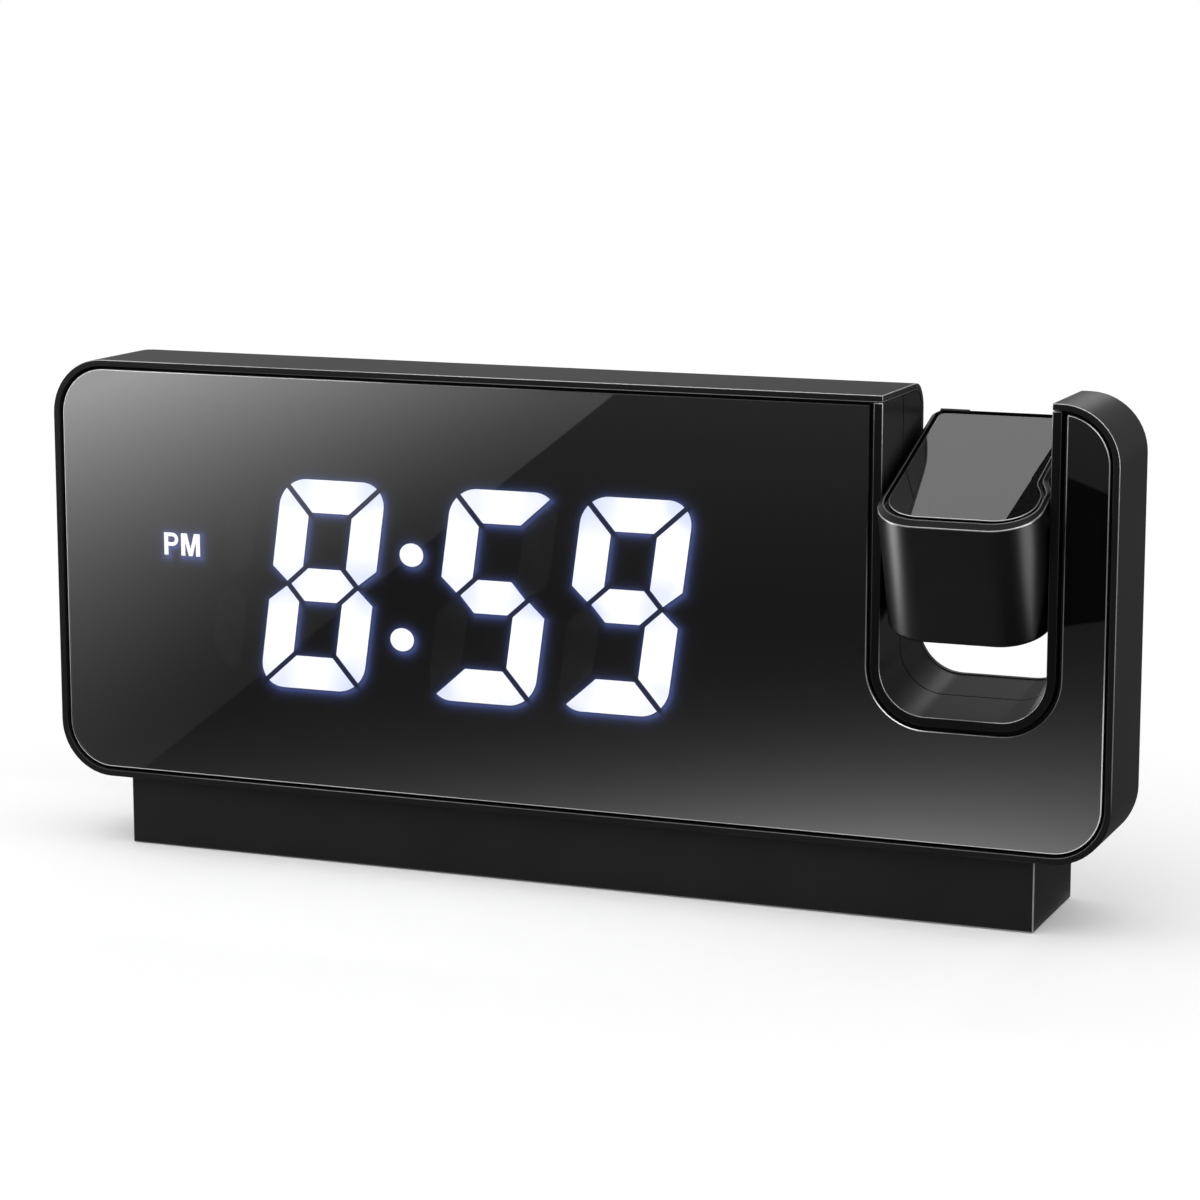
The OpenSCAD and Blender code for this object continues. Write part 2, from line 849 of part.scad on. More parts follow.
module usb_inlet() {
  color(steel) {
    deep(main_back, case_d - usb_sunk - main_back) translate([usb_in_x, usb_z]) difference() {
      oblong(usb_in[0], usb_in[1]);
      oblong(usb_in[0] - 2 * usb_wall, usb_in[1] - 2 * usb_wall);
    }
    deep(main_back, usb_foot) translate([usb_in_x, usb_z])
      oblong(usb_in[0] - usb_wall, usb_in[1] - usb_wall);
    deep(main_back + usb_foot / 2, usb_in_tongue[1]) translate([usb_in_x, usb_z])
      square([usb_in_tongue[0], usb_in_tongue[2]], center = true);
  }
}

module usb_outlet() {
  color(steel) {
    deep(main_back, case_d - usb_sunk - main_back) translate([usb_out_x, usb_z]) difference() {
      square(usb_out, center = true);
      square(usb_out - 2 * [usb_wall, usb_wall], center = true);
    }
    deep(main_back, usb_foot) translate([usb_out_x, usb_z])
      square(usb_out - [usb_wall, usb_wall], center = true);
    deep(main_back + usb_foot / 2, usb_out_tongue[1])
      translate([usb_out_x, usb_z + usb_out[1] / 2 - usb_wall - 0.8 * usb_out_tongue[2]])
      square([usb_out_tongue[0], usb_out_tongue[2]], center = true);
  }
}

module case_screws() {
  color(steel) {
    deep(split_at + tube_floor, screw_head_t) at_case_screws() circle(screw_head_r);
    deep(ledge_at + 2, split_at + tube_floor - ledge_at - 2) at_case_screws() circle(screw_r);
  }
}

module board_screws() {
  color(steel) {
    deep(main_back, board_screw_head_t) at_board_screws() circle(board_screw_head_r);
    deep(ledge_at + 3, main_back - ledge_at - 3) at_board_screws() circle(board_screw_r);
  }
}

// The lead from the end of the hollow shaft down to its plug on the main board
module case_lead() {
  x_bend = notch_x - shaft_end - 2 * lead_start;
  x_down = x_bend - case_lead_bend;
  z_bend = pivot_z - case_lead_bend;
  color(chip_black) {
    translate([x_bend, pivot_y, pivot_z]) rotate([0, 90, 0]) cylinder(r = lead_r, h = lead_start);
    translate([x_bend, pivot_y, z_bend]) rotate([90, 0, 0]) rotate([0, 0, 90])
      rotate_extrude(angle = 90) translate([case_lead_bend, 0]) circle(lead_r);
    translate([x_down, pivot_y, z_bend - case_lead_drop]) cylinder(r = lead_r, h = case_lead_drop);
    // The plug, flat on the main board
    translate([x_down - plug_w / 2, pivot_y - plug_w / 2, z_bend - case_lead_drop - plug_h])
      cube([plug_w, front_y + main_at - pivot_y + plug_w / 2, plug_h]);
  }
}

// ---------- base ----------

module base_outline(inset) {
  round_rect(base_w - 2 * inset, base_d - 2 * inset, 0.6);
}

module base_foot() {
  color(case_black) difference() {
    union() {
      difference() {
        translate([0, 0, pad_proud]) linear_extrude(base_h - pad_proud) base_outline(0);
        linear_extrude(base_h - base_wall) base_outline(base_wall);
      }
      for (i = [-3:3]) {
        translate([i * base_w / 8 - 0.6, -base_d / 2 + base_wall / 2, pad_proud + base_plate_t])
          cube([1.2, base_d - base_wall, base_h - base_wall / 2 - pad_proud - base_plate_t]);
      }
      at_base_screws() translate([0, pivot_y, pad_proud + base_plate_t])
        cylinder(r = base_post_r, h = base_h - pad_proud - base_plate_t - 0.5);
    }
    at_base_screws() translate([0, pivot_y, 0]) cylinder(r = base_screw_r + 0.2, h = base_h + past);
  }
}

module base_plate() {
  color(trim_black) difference() {
    translate([0, 0, pad_proud]) linear_extrude(base_plate_t) base_outline(base_wall + fit);
    linear_extrude(pad_t) oblong(pad_l + 2 * fit, pad_w + 2 * fit);
    at_base_screws() translate([0, pivot_y, 0]) {
      cylinder(r = base_screw_r + 0.2, h = base_h);
      cylinder(r = screw_head_r + 0.2, h = pad_t);
      translate([0, 0, pad_t]) cylinder(r1 = screw_head_r + 0.2, r2 = base_screw_r + 0.2, h = 1.1);
    }
  }
}

module base_screws() {
  color(steel) at_base_screws() translate([0, pivot_y, 0]) {
    translate([0, 0, pad_t]) cylinder(r1 = screw_head_r, r2 = base_screw_r, h = 1.1);
    translate([0, 0, pad_t + 1]) cylinder(r = base_screw_r, h = base_h + wall + base_boss_z - 2 - pad_t);
  }
}

module grip_pad() {
  color(rubber) linear_extrude(pad_t) oblong(pad_l, pad_w);
}

// ---------- pivot ----------

module pivot_bush() {
  color(acetal) difference() {
    union() {
      rod_x(bush_r, notch_w / 2, lining_x);
      rod_x(flange_r, lining_x, lining_x + flange_t);
    }
    rod_x(shaft_r + run_gap, notch_w / 2 - past, lining_x + flange_t + past);
  }
}

module pivot_bush_left() {
  at_pivot() mirror([1, 0, 0]) pivot_bush();
}

module pivot_bush_right() {
  at_pivot() pivot_bush();
}

module friction_washers() {
  color(steel) at_pivot() for (s = [0, 1]) mirror([s, 0, 0]) difference() {
    rod_x(flange_r - 0.5, lining_x + flange_t, lining_x + flange_t + washer_t);
    rod_x(shaft_r + fit, lining_x, clip_at + past);
  }
}

module shaft_clips() {
  color(steel) in_head() for (s = [0, 1]) mirror([s, 0, 0]) difference() {
    rod_x(shaft_r + 1.7, clip_at, clip_at + clip_t);
    rod_x(shaft_r - 0.5, clip_at - past, clip_at + clip_t + past);
    translate([clip_at - past, -1.5, -2 * shaft_r]) cube([clip_t + 2 * past, 3, 2 * shaft_r]);
  }
}

// A stub shaft from inside the head's wall to past its clip
module pivot_shaft(from) {
  difference() {
    rod_x(shaft_r, from, shaft_end);
    difference() {
      rod_x(shaft_r + past, clip_at, clip_at + clip_t);
      rod_x(shaft_r - 0.5, clip_at - past, clip_at + clip_t + past);
    }
  }
}

boss_left = head_w / 2 - head_wall - boss_in;
boss_right = head_w / 2 - relief - head_wall - boss_in;

module pivot_shaft_left() {
  color(steel) in_head() mirror([1, 0, 0]) difference() {
    pivot_shaft(boss_left);
    rod_x(lead_bore, 0, shaft_end + past);
  }
}

module pivot_shaft_right() {
  color(steel) in_head() pivot_shaft(boss_right);
}

// ---------- projector head ----------

// The head from above, its sides, front and back moved in; the right side is
// narrower behind the pivot by the depth of the relief
module head_plan(side, front, back) {
  w = head_w / 2 - side;
  y0 = front - head_front;
  y1 = head_back - back;
  rf = head_front_r - side;
  rb = max(head_back_r - side, 0.4);
  difference() {
    union() {
      translate([-w + rf, y0]) square([2 * (w - rf), y1 - y0]);
      translate([-w, y0 + rf]) square([2 * w, y1 - rb - y0 - rf]);
      translate([-w + rb, y0 + rf]) square([2 * (w - rb), y1 - y0 - rf]);
      for (s = [-1, 1]) {
        translate([s * (w - rf), y0 + rf]) circle(rf);
        translate([s * (w - rb), y1 - rb]) circle(rb);
      }
    }
    polygon([
      [w, relief_from - side], [w - relief, relief_to - side], [w - relief, y1 + past],
      [w + past, y1 + past], [w + past, relief_from - side]
    ]);
  }
}

module head_shell() {
  z0 = head_bottom;
  z1 = head_top - bezel_t;
  slot_half = sqrt(pow(ring_r, 2) - pow(head_back - head_wall - optic_y, 2)) + 0.8;
  color(case_black) in_head() difference() {
    union() {
      difference() {
        translate([0, 0, z0]) linear_extrude(z1 - z0) head_plan(0, 0, 0);
        translate([0, 0, z0 + cover_t / 2]) linear_extrude(z1 - z0)
          head_plan(head_wall, head_wall, head_wall);
        translate([0, 0, z0 - past]) linear_extrude(cover_t + past)
          head_plan(head_wall - cover_ledge, head_wall - cover_ledge, head_wall - cover_ledge);
      }
      // Bosses that carry the shafts; the right one also fills the relief
      mirror([1, 0, 0]) rod_x(boss_r, boss_left, head_w / 2 - head_wall / 2);
      rod_x(boss_r, boss_right, head_w / 2);
      // Posts for the cover screws, joined to the front corners
      for (s = [-1, 1]) translate([s * head_post_x, head_post_y, z0 + cover_t]) cylinder(r = 1.9, h = 8);
    }
    rod_x(shaft_r, -head_w, head_w);
    for (s = [-1, 1]) translate([s * head_post_x, head_post_y, z0]) cylinder(r = cover_screw_r, h = 8);
    // Slot for the focus ring in the back wall
    translate([-slot_half, head_back - head_wall - past, barrel_at - 0.5])
      cube([2 * slot_half, head_wall + 2 * past, ring_t + 0.8]);
  }
}

module head_bezel() {
  z0 = head_top - bezel_t;
  seat = head_top - 0.3 - window_t;
  color(trim_black) in_head() difference() {
    union() {
      translate([0, 0, z0]) linear_extrude(bezel_t - 0.5) head_plan(0, 0, 0);
      translate([0, 0, head_top - 0.5]) linear_extrude(0.5) head_plan(0.3, 0.3, 0.3);
      // Skirt that locates the rim in the shell
      translate([0, 0, z0 - 1]) linear_extrude(1) difference() {
        head_plan(head_wall + fit, head_wall + fit, head_wall + fit);
        head_plan(head_wall + 0.8, head_wall + 0.8, head_wall + 0.8);
      }
    }
    translate([0, 0, z0 - 2]) linear_extrude(bezel_t + 4)
      head_plan(bezel_side + window_ledge, bezel_front + window_ledge, bezel_back + window_ledge);
    translate([0, 0, seat]) linear_extrude(bezel_t + past)
      head_plan(bezel_side, bezel_front, bezel_back);
  }
}

module head_window() {
  color(glass_black) in_head() translate([0, 0, head_top - 0.3 - window_t]) linear_extrude(window_t)
    head_plan(bezel_side + fit, bezel_front + fit, bezel_back + fit);
}

module head_cover() {
  in = head_wall - cover_ledge + fit;
  color(case_black) in_head() difference() {
    translate([0, 0, head_bottom]) linear_extrude(cover_t - 0.05) head_plan(in, in, in);
    for (s = [-1, 1]) translate([s * head_post_x, head_post_y, head_bottom - past]) {
      cylinder(r = cover_screw_r + 0.2, h = 3 * cover_t);
      cylinder(r = cover_screw_head_r + fit, h = past + fit + cover_screw_head_t);
    }
  }
}

module head_screws() {
  color(steel) in_head() for (s = [-1, 1]) translate([s * head_post_x, head_post_y, head_bottom]) {
    translate([0, 0, fit]) cylinder(r = cover_screw_head_r, h = cover_screw_head_t);
    translate([0, 0, fit + cover_screw_head_t]) cylinder(r = cover_screw_r, h = cover_screw_l);
  }
}

module head_board() {
  side = head_wall + board_clear;
  color(board_green) in_head() translate([0, 0, head_board_at]) linear_extrude(head_board_t)
    intersection() {
      head_plan(side, side, side);
      translate([-head_w, head_board_front]) square([2 * head_w, head_l]);
    }
}

module on_optic(z) {
  in_head() translate([0, optic_y, z]) children();
}

module projector_led() {
  color(brass) on_optic(head_board_at + head_board_t) {
    translate([-2, -2, 0]) cube([4, 4, 0.5]);
    translate([0, 0, 0.5]) cylinder(r = 1.5, h = 0.3);
  }
}

tube_bottom = head_board_at + head_board_t;
lcd_half = (guide_r - guide_wall) / sqrt(2) - 0.05;
lcd_at = tube_bottom + 3.2;

module lens_tube() {
  color(chip_black) difference() {
    union() {
      on_optic(tube_bottom) cylinder(r = guide_r, h = flange_top + focus_travel + guide_hold - tube_bottom);
      on_optic(flange_top - tube_flange_t) intersection() {
        cylinder(r = ring_r + 0.6, h = tube_flange_t);
        translate([0, -optic_y, 0]) linear_extrude(tube_flange_t)
          head_plan(head_wall + fit, head_wall + fit, head_wall + fit);
      }
    }
    on_optic(tube_bottom - past) cylinder(r = guide_r - guide_wall, h = head_h);
  }
}

module condenser_lens() {
  r = guide_r - guide_wall;
  color(clear) on_optic(tube_bottom + 1.2) {
    cylinder(r = r, h = 0.6);
    translate([0, 0, 0.6]) intersection() {
      cylinder(r = r - 0.2, h = 1.2);
      translate([0, 0, -9]) sphere(r = 10.1);
    }
  }
}

module image_lcd() {
  color(dim_grey) on_optic(lcd_at) translate([-lcd_half, -lcd_half, 0])
    cube([2 * lcd_half, 2 * lcd_half, 1]);
}

// The lead through the left shaft, on the pivot's own axis, down to the head's board
module head_lead() {
  x_in = boss_left - 1;
  color(chip_black) in_head() mirror([1, 0, 0]) {
    rod_x(lead_r, x_in, shaft_end + lead_start - fit);
    translate([x_in, 0, -head_lead_bend]) rotate([90, 0, 0]) rotate([0, 0, 90])
      rotate_extrude(angle = 90) translate([head_lead_bend, 0]) circle(lead_r);
    translate([x_in - head_lead_bend, 0, head_board_at + head_board_t])
      cylinder(r = lead_r, h = -head_lead_bend - head_board_at - head_board_t);
  }
}

// ---------- focus ----------

module focus_ring() {
  color(rubber) on_optic(barrel_at) difference() {
    cylinder(r = ring_r, h = ring_t);
    translate([0, 0, -past]) cylinder(r = barrel_r + run_gap, h = ring_t + 2 * past);
    for (i = [0:ring_grooves - 1]) rotate(i * 360 / ring_grooves) {
      translate([ring_r + 0.1, 0, -past]) cylinder(r = 0.4, h = ring_t + 2 * past, $fn = 24);
    }
  }
}

module lens_barrel() {
  color(chip_black) on_optic(barrel_at) difference() {
    cylinder(r = barrel_r, h = barrel_t);
    translate([0, 0, -past]) cylinder(r = barrel_r - barrel_wall, h = barrel_t - lens_t + past);
    cylinder(r = barrel_r - barrel_wall, h = barrel_t - 0.4);
    cylinder(r = barrel_r - barrel_wall - 0.8, h = barrel_t + past);
  }
}

module projection_lens() {
  r = barrel_r - barrel_wall;
  color(clear) on_optic(barrel_at + barrel_t - lens_t) {
    cylinder(r = r, h = lens_t - 0.4);
    translate([0, 0, lens_t - 0.4]) intersection() {
      cylinder(r = r - 0.9, h = 1.2);
      translate([0, 0, -11.4]) sphere(r = 12.4);
    }
  }
}

// ---------- buttons ----------

module button(i) {
  color(case_black) translate([first_key_x + i * key_pitch, 0, key_z]) {
    deep(inner_at - 0.1, wall + key_proud + 0.1) oblong(key_w, key_h);
    deep(inner_at - key_flange_t - key_slack, key_flange_t)
      oblong(key_w + 2 * key_flange_out, key_h + 2 * key_flange_out);
    rod_y(plunger_r, 0, 0, plunger_end, inner_at - key_flange_t);
  }
}

module plunger(i) {
  color(acetal) rod_y(plunger_r, first_key_x + i * key_pitch, key_z,
    main_back + switch_h - plunger_sunk, plunger_end);
}

module mode_button() { button(0); }
module set_button() { button(1); }
module alarm_button() { button(2); }
module plus_button() { button(3); }
module minus_button() { button(4); }
module mode_plunger() { plunger(0); }
module set_plunger() { plunger(1); }
module alarm_plunger() { plunger(2); }
module plus_plunger() { plunger(3); }
module minus_plunger() { plunger(4); }

rear_housing();
front_frame();
mirror_panel();
display_block();
lit_segments();
unlit_segments();
colon_dots();
pm_window();
display_board();
display_leds();
main_board();
board_chips();
board_header();
key_switches();
buzzer();
cell_holder();
coin_cell();
battery_door();
battery_door_screw();
usb_inlet();
usb_outlet();
base_foot();
base_plate();
base_screws();
grip_pad();
case_screws();
board_screws();
pivot_bush_left();
pivot_bush_right();
friction_washers();
case_lead();
head_shell();
head_bezel();
head_window();
head_cover();
head_screws();
pivot_shaft_left();
pivot_shaft_right();
shaft_clips();
head_board();
projector_led();
lens_tube();
condenser_lens();
image_lcd();
head_lead();
focus_ring();
lens_barrel();
projection_lens();
mode_button();
set_button();
alarm_button();
plus_button();
minus_button();
mode_plunger();
set_plunger();
alarm_plunger();
plus_plunger();
minus_plunger();
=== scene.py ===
import json
import math

import bmesh
import bpy
import numpy as np
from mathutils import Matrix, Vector
from mathutils.geometry import tessellate_polygon


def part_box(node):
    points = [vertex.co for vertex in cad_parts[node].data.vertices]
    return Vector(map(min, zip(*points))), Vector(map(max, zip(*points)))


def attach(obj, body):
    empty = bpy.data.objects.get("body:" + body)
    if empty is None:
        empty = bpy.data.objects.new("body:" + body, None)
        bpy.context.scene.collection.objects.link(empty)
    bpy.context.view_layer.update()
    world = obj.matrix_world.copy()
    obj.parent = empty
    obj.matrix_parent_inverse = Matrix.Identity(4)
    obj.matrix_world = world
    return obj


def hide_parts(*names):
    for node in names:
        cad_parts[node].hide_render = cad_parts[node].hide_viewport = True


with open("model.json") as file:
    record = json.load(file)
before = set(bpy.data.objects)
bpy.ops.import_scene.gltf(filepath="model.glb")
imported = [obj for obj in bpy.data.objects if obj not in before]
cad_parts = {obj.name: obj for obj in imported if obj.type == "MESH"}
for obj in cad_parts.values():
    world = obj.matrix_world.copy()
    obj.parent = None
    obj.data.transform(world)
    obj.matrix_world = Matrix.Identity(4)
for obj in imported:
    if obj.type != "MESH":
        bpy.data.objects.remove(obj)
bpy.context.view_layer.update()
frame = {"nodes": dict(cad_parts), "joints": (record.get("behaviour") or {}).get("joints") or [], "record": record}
print("frame loaded:", len(frame["nodes"]), "nodes")


# Lengths are in millimetres until a mesh is made
def boxOf(node):
    low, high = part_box(node)
    return np.array(low) * 1000, np.array(high) * 1000


def middle(node):
    # Centre and size of a node's box
    low, high = boxOf(node)
    return (low + high) / 2, high - low


def jointOf(name):
    return next(joint for joint in frame["joints"] if joint["name"] == name)


caseLow, caseHigh = boxOf("rear_housing")
pivot = np.array(jointOf("projector_tilt")["pos_m"]) * 1000
frontY = caseLow[1]
caseDepth = caseHigh[1] - frontY


class Wire:
    # An output socket. Arithmetic on it adds Math nodes to its tree.
    def __init__(self, graph, socket):
        self.graph = graph
        self.socket = socket

    def maths(self, operation, *values):
        return self.graph.maths(operation, *values)

    def __add__(self, other):
        return self.maths("ADD", self, other)

    def __radd__(self, other):
        return self.maths("ADD", other, self)

    def __sub__(self, other):
        return self.maths("SUBTRACT", self, other)

    def __rsub__(self, other):
        return self.maths("SUBTRACT", other, self)

    def __mul__(self, other):
        return self.maths("MULTIPLY", self, other)

    def __rmul__(self, other):
        return self.maths("MULTIPLY", other, self)

    def __truediv__(self, other):
        return self.maths("DIVIDE", self, other)

    def __rtruediv__(self, other):
        return self.maths("DIVIDE", other, self)

    def __pow__(self, other):
        return self.maths("POWER", self, other)

    def __abs__(self):
        return self.maths("ABSOLUTE", self)

    def clamped(self):
        return self.graph.node("Clamp", values={"Value": self})

    def between(self, low, high):
        # 0 below low, 1 above high, smooth in between
        values = {"Value": self, "From Min": low, "From Max": high}
        return self.graph.node("MapRange", {"interpolation_type": "SMOOTHSTEP"}, values)


class Graph:
    # One node tree, with one method that adds any node
    def __init__(self, tree):
        self.tree = tree
        tree.nodes.clear()

    def node(self, kind, settings=None, values=None, output=0):
        made = self.tree.nodes.new("ShaderNode" + kind)
        for key, value in (settings or {}).items():
            setattr(made, key, value)
        for key, value in (values or {}).items():
            if isinstance(value, Wire):
                self.tree.links.new(value.socket, made.inputs[key])
            else:
                made.inputs[key].default_value = value
        return Wire(self, made.outputs[output]) if made.outputs else None

    def maths(self, operation, *values):
        return self.node("Math", {"operation": operation}, dict(enumerate(values)))

    def blend(self, factor, first, second):
        values = {"Factor": factor, 6: first, 7: second}
        return self.node("Mix", {"data_type": "RGBA"}, values, 2)

    def xyz(self):
        place = self.node("TexCoord", output="Object")
        split = self.node("SeparateXYZ", values={0: place})
        return place, [Wire(self, output) for output in split.socket.node.outputs]

    def edge(self):
        return self.node("Attribute", {"attribute_name": "edge"}, output="Fac")

    def noise(self, place, perMillimetre, detail=2.0):
        values = {"Vector": place, "Scale": perMillimetre * 1000, "Detail": detail, "Roughness": 0.55}
        return self.node("TexNoise", values=values)

    def bump(self, height, strength, distance):
        values = {"Height": height, "Strength": strength, "Distance": distance * 0.001}
        return self.node("Bump", values=values)

    def surface(self, shader):
        self.node("OutputMaterial", values={"Surface": shader})


def newObject(name, data):
    thing = bpy.data.objects.new(name, data)
    bpy.context.scene.collection.objects.link(thing)
    return thing


def aim(thing, direction):
    # Lamps and cameras look along their own -Z
    thing.rotation_euler = direction.to_track_quat("-Z", "Y").to_euler()


def newMaterial(name):
    material = bpy.data.materials.new(name)
    material.use_nodes = True
    return material, Graph(material.node_tree)


def neutral(value):
    return (value, value, value, 1)


def grey(value):
    # A cool grey, as black plastic is
    return (value, value, value * 1.02, 1)


def principled(material, graph, values):
    graph.surface(graph.node("BsdfPrincipled", values=values))
    return material


plastic = {
    "cloudScale": 0.06,
    "cloud": 0.06,
    "grainScale": 9.0,
    "grainDepth": 0.02,
    "uneven": 0.15,
    "lip": (0.15, 0.35),
}


def plasticFinish(name, tone, roughness, grain, specular=0.5, paintedEdgeTone=0.0, frontShadeTone=None, alpha=1.0):
    # Moulded plastic: fine spark-eroded grain in the bump, slow clouds in tone and roughness.
    # The attribute "edge" paints highlight lines on rounded edges: where it is high their colour is painted
    # lighter, and a glossy coat lies on them.
    material, graph = newMaterial(name)
    place, axes = graph.xyz()
    slow = graph.noise(place, plastic["cloudScale"], 3)
    fine = graph.noise(place, plastic["grainScale"], 1)
    darker, paler = (grey(tone * (1 + side * plastic["uneven"])) for side in (-1, 1))
    flatTone = graph.blend(slow.between(0.3, 0.7), darker, paler)
    # Painted shade: the face of the front lip gets a darker tone than the shell behind it
    if frontShadeTone:  # the front lip is darker than the eroded shell behind it
        behind = (axes[1] * 1000 - frontY).between(*plastic["lip"])
        flatTone = graph.blend(behind, grey(frontShadeTone), flatTone)
    edge = graph.edge() if paintedEdgeTone else 0.0
    values = {
        # Painted highlight: the rounded edges are lighter, towards the edge tone, as far as the attribute "edge"
        # goes
        "Base Color": graph.blend(edge, flatTone, grey(paintedEdgeTone)) if paintedEdgeTone else flatTone,
        "Roughness": roughness + (slow - 0.5) * plastic["cloud"],
        "Specular IOR Level": specular,
        "Coat Weight": edge,
        "Coat Roughness": 0.15,
        "Coat IOR": 1.8,
        "Alpha": alpha,
        "Normal": graph.bump(fine, grain, plastic["grainDepth"]),
    }
    return principled(material, graph, values)


metal = {
    "stretch": (0.15, 1.0, 1.0),
    "streakScale": 14.0,
    "streak": 0.2,
}


def metalFinish(name, colour, roughness):
    # Plated steel: short streaks along X in roughness and bump
    material, graph = newMaterial(name)
    place, _ = graph.xyz()
    scaled = graph.node("Mapping", values={"Vector": place, "Scale": metal["stretch"]})
    fine = graph.noise(scaled, metal["streakScale"], 2)
    values = {
        "Base Color": colour,
        "Metallic": 1.0,
        "Roughness": roughness + (fine - 0.5) * metal["streak"],
        "Normal": graph.bump(fine, 0.08, 0.02),
    }
    return principled(material, graph, values)


dust = {
    "scale": 0.4,
    "shows": (0.62, 0.9),
    "dulls": 0.02,
}


def glassFinish(name, tint, index, groundHighlightTone=0.0):
    # Smoked acrylic: tinted all through, glossy, with a trace of dust in the gloss. Its ground edge carries
    # painted highlights from the attribute "edge", and is painted near black where that is least, painted shade
    # that takes its reflection away
    material, graph = newMaterial(name)
    place, _ = graph.xyz()
    specks = graph.noise(place, dust["scale"], 4).between(*dust["shows"])
    values = {
        "Base Color": tint,
        "Roughness": specks * dust["dulls"],
        "IOR": index,
        "Transmission Weight": 1.0,
    }
    shader = graph.node("BsdfPrincipled", values=values)
    if groundHighlightTone:
        edge = graph.edge()
        values = {
            "Base Color": graph.blend(edge, grey(0.002), grey(groundHighlightTone)),
            "Roughness": 0.4,
            "Specular IOR Level": 0.1,
            "Coat Weight": edge,
            "Coat Roughness": 0.2,
            "Coat IOR": 1.8,
        }
        ground = graph.node("BsdfPrincipled", values=values)
        # The painted edge takes the glass's place wherever the attribute "edge" is above nothing
        edgePainted = edge.between(0.001, 0.009)
        shader = graph.node("MixShader", values={0: edgePainted, 1: shader, 2: ground})
    graph.surface(shader)
    return material


def boardFinish(name):
    # Green solder mask with paler tracks
    material, graph = newMaterial(name)
    place, _ = graph.xyz()
    tracks = graph.noise(place, 0.5, 0).between(0.49, 0.51)
    values = {
        "Base Color": graph.blend(tracks, (0.01, 0.09, 0.04, 1), (0.02, 0.16, 0.08, 1)),
        "Roughness": 0.35,
        "Normal": graph.bump(tracks, 0.2, 0.03),
    }
    return principled(material, graph, values)


light = {
    "white": (1.0, 1.0, 1.0, 1),
    "lavender": (0.68, 0.74, 0.96, 1),
    "halo": (0.055, 0.08, 0.24, 1),
    "strength": 2.1,
    "paleAt": (0.1, 0.95),
    "paleLeast": 0.35,
}


def litFinish(name):
    # A lit diffuser: white over its lamp, paler lavender towards its ends (UV u runs -1 to 1)
    material, graph = newMaterial(name)
    place = graph.node("TexCoord", output="UV")
    along = abs(graph.node("SeparateXYZ", values={0: place}))
    uneven = graph.noise(graph.xyz()[0], 0.12, 1).between(0.4, 0.6)
    least = light["paleLeast"]
    pale = along.between(*light["paleAt"]) * (least + (1 - least) * uneven)
    values = {
        "Base Color": (0.4, 0.4, 0.4, 1),
        "Roughness": 0.5,
        "Emission Color": graph.blend(pale, light["white"], light["lavender"]),
        "Emission Strength": light["strength"],
    }
    return principled(material, graph, values)


def haloFinish(name):
    # Flat black foil with the blue glow around what is lit, from the attribute "glow"
    material, graph = newMaterial(name)
    glow = graph.node("Attribute", {"attribute_name": "glow"}, output="Color")
    values = {
        "Base Color": grey(0.004),
        "Roughness": 0.8,
        "Specular IOR Level": 0.1,
        "Emission Color": glow,
        "Emission Strength": light["strength"],
    }
    return principled(material, graph, values)


# The edge tones paint highlight lines on rounded edges, the case's front tone paints shade on its front lip, and
# the glasses' last number is the paleness of their painted edge highlights
finish = {
    "case_plastic": plasticFinish("caseSatin", 0.012, 0.38, 0.1, 0.12, paintedEdgeTone=0.18, frontShadeTone=0.002),
    "base_plastic": plasticFinish("baseSatin", 0.004, 0.4, 0.08, 0.12, paintedEdgeTone=0.4),
    "head_plastic": plasticFinish("headSatin", 0.002, 0.34, 0.04, 0.1, paintedEdgeTone=0.14),
    "button_plastic": plasticFinish("buttonSatin", 0.03, 0.45, 0.2, 0.3),
    "trim_plastic": plasticFinish("trimGloss", 0.0015, 0.3, 0.02, 0.12, paintedEdgeTone=0.2),
    "display_black": plasticFinish("displayBlack", 0.004, 0.8, 0.1, 0.1),
    "unlit_diffuser": plasticFinish("unlitDiffuser", 0.12, 0.8, 0.1, 0.1, alpha=0.25),
    "chip_black": plasticFinish("mouldedBlack", 0.012, 0.55, 0.2, 0.4),
    "rubber": plasticFinish("rubber", 0.018, 0.75, 0.5, 0.3),
    "acetal": plasticFinish("acetal", 0.62, 0.4, 0.1, 0.5),
    "lead_sleeve": plasticFinish("leadSleeve", 0.012, 0.5, 0.2, 0.4),
    "led_chips": plasticFinish("ledPhosphor", 0.5, 0.5, 0.1, 0.5),
    "steel": metalFinish("platedSteel", (0.62, 0.62, 0.64, 1), 0.3),
    "mirror_glass": glassFinish("mirrorGlass", (0.25, 0.25, 0.26, 1), 2.2, 0.9),
    "window_glass": glassFinish("windowGlass", (0.05, 0.05, 0.055, 1), 1.9, 0.1),
    "clear_lens": glassFinish("clearLens", (0.9, 0.95, 1.0, 1), 1.5),
    "circuit_board": boardFinish("solderMask"),
    "lit_diffuser": litFinish("litDiffuser"),
}
haloMaterial = haloFinish("displayHalo")
printMaterial = plasticFinish("printGrey", 0.4, 0.6, 0.05, 0.2)
backMaterial = plasticFinish("backEroded", 0.02, 0.5, 0.4, 0.25)
print("finishes made:", len(finish))


def gridFaces(rows, columns, closeRows=False, closeColumns=False):
    # Quads between neighbouring rows and columns of a grid of points
    i = np.arange(rows if closeRows else rows - 1)[:, None]
    j = np.arange(columns if closeColumns else columns - 1)[None, :]
    nextRow, nextColumn = (i + 1) % rows, (j + 1) % columns
    here, beyond = i * columns, nextRow * columns
    corners = [here + j, here + nextColumn, beyond + nextColumn, beyond + j]
    return np.stack(corners, 2).reshape(-1, 4).tolist()


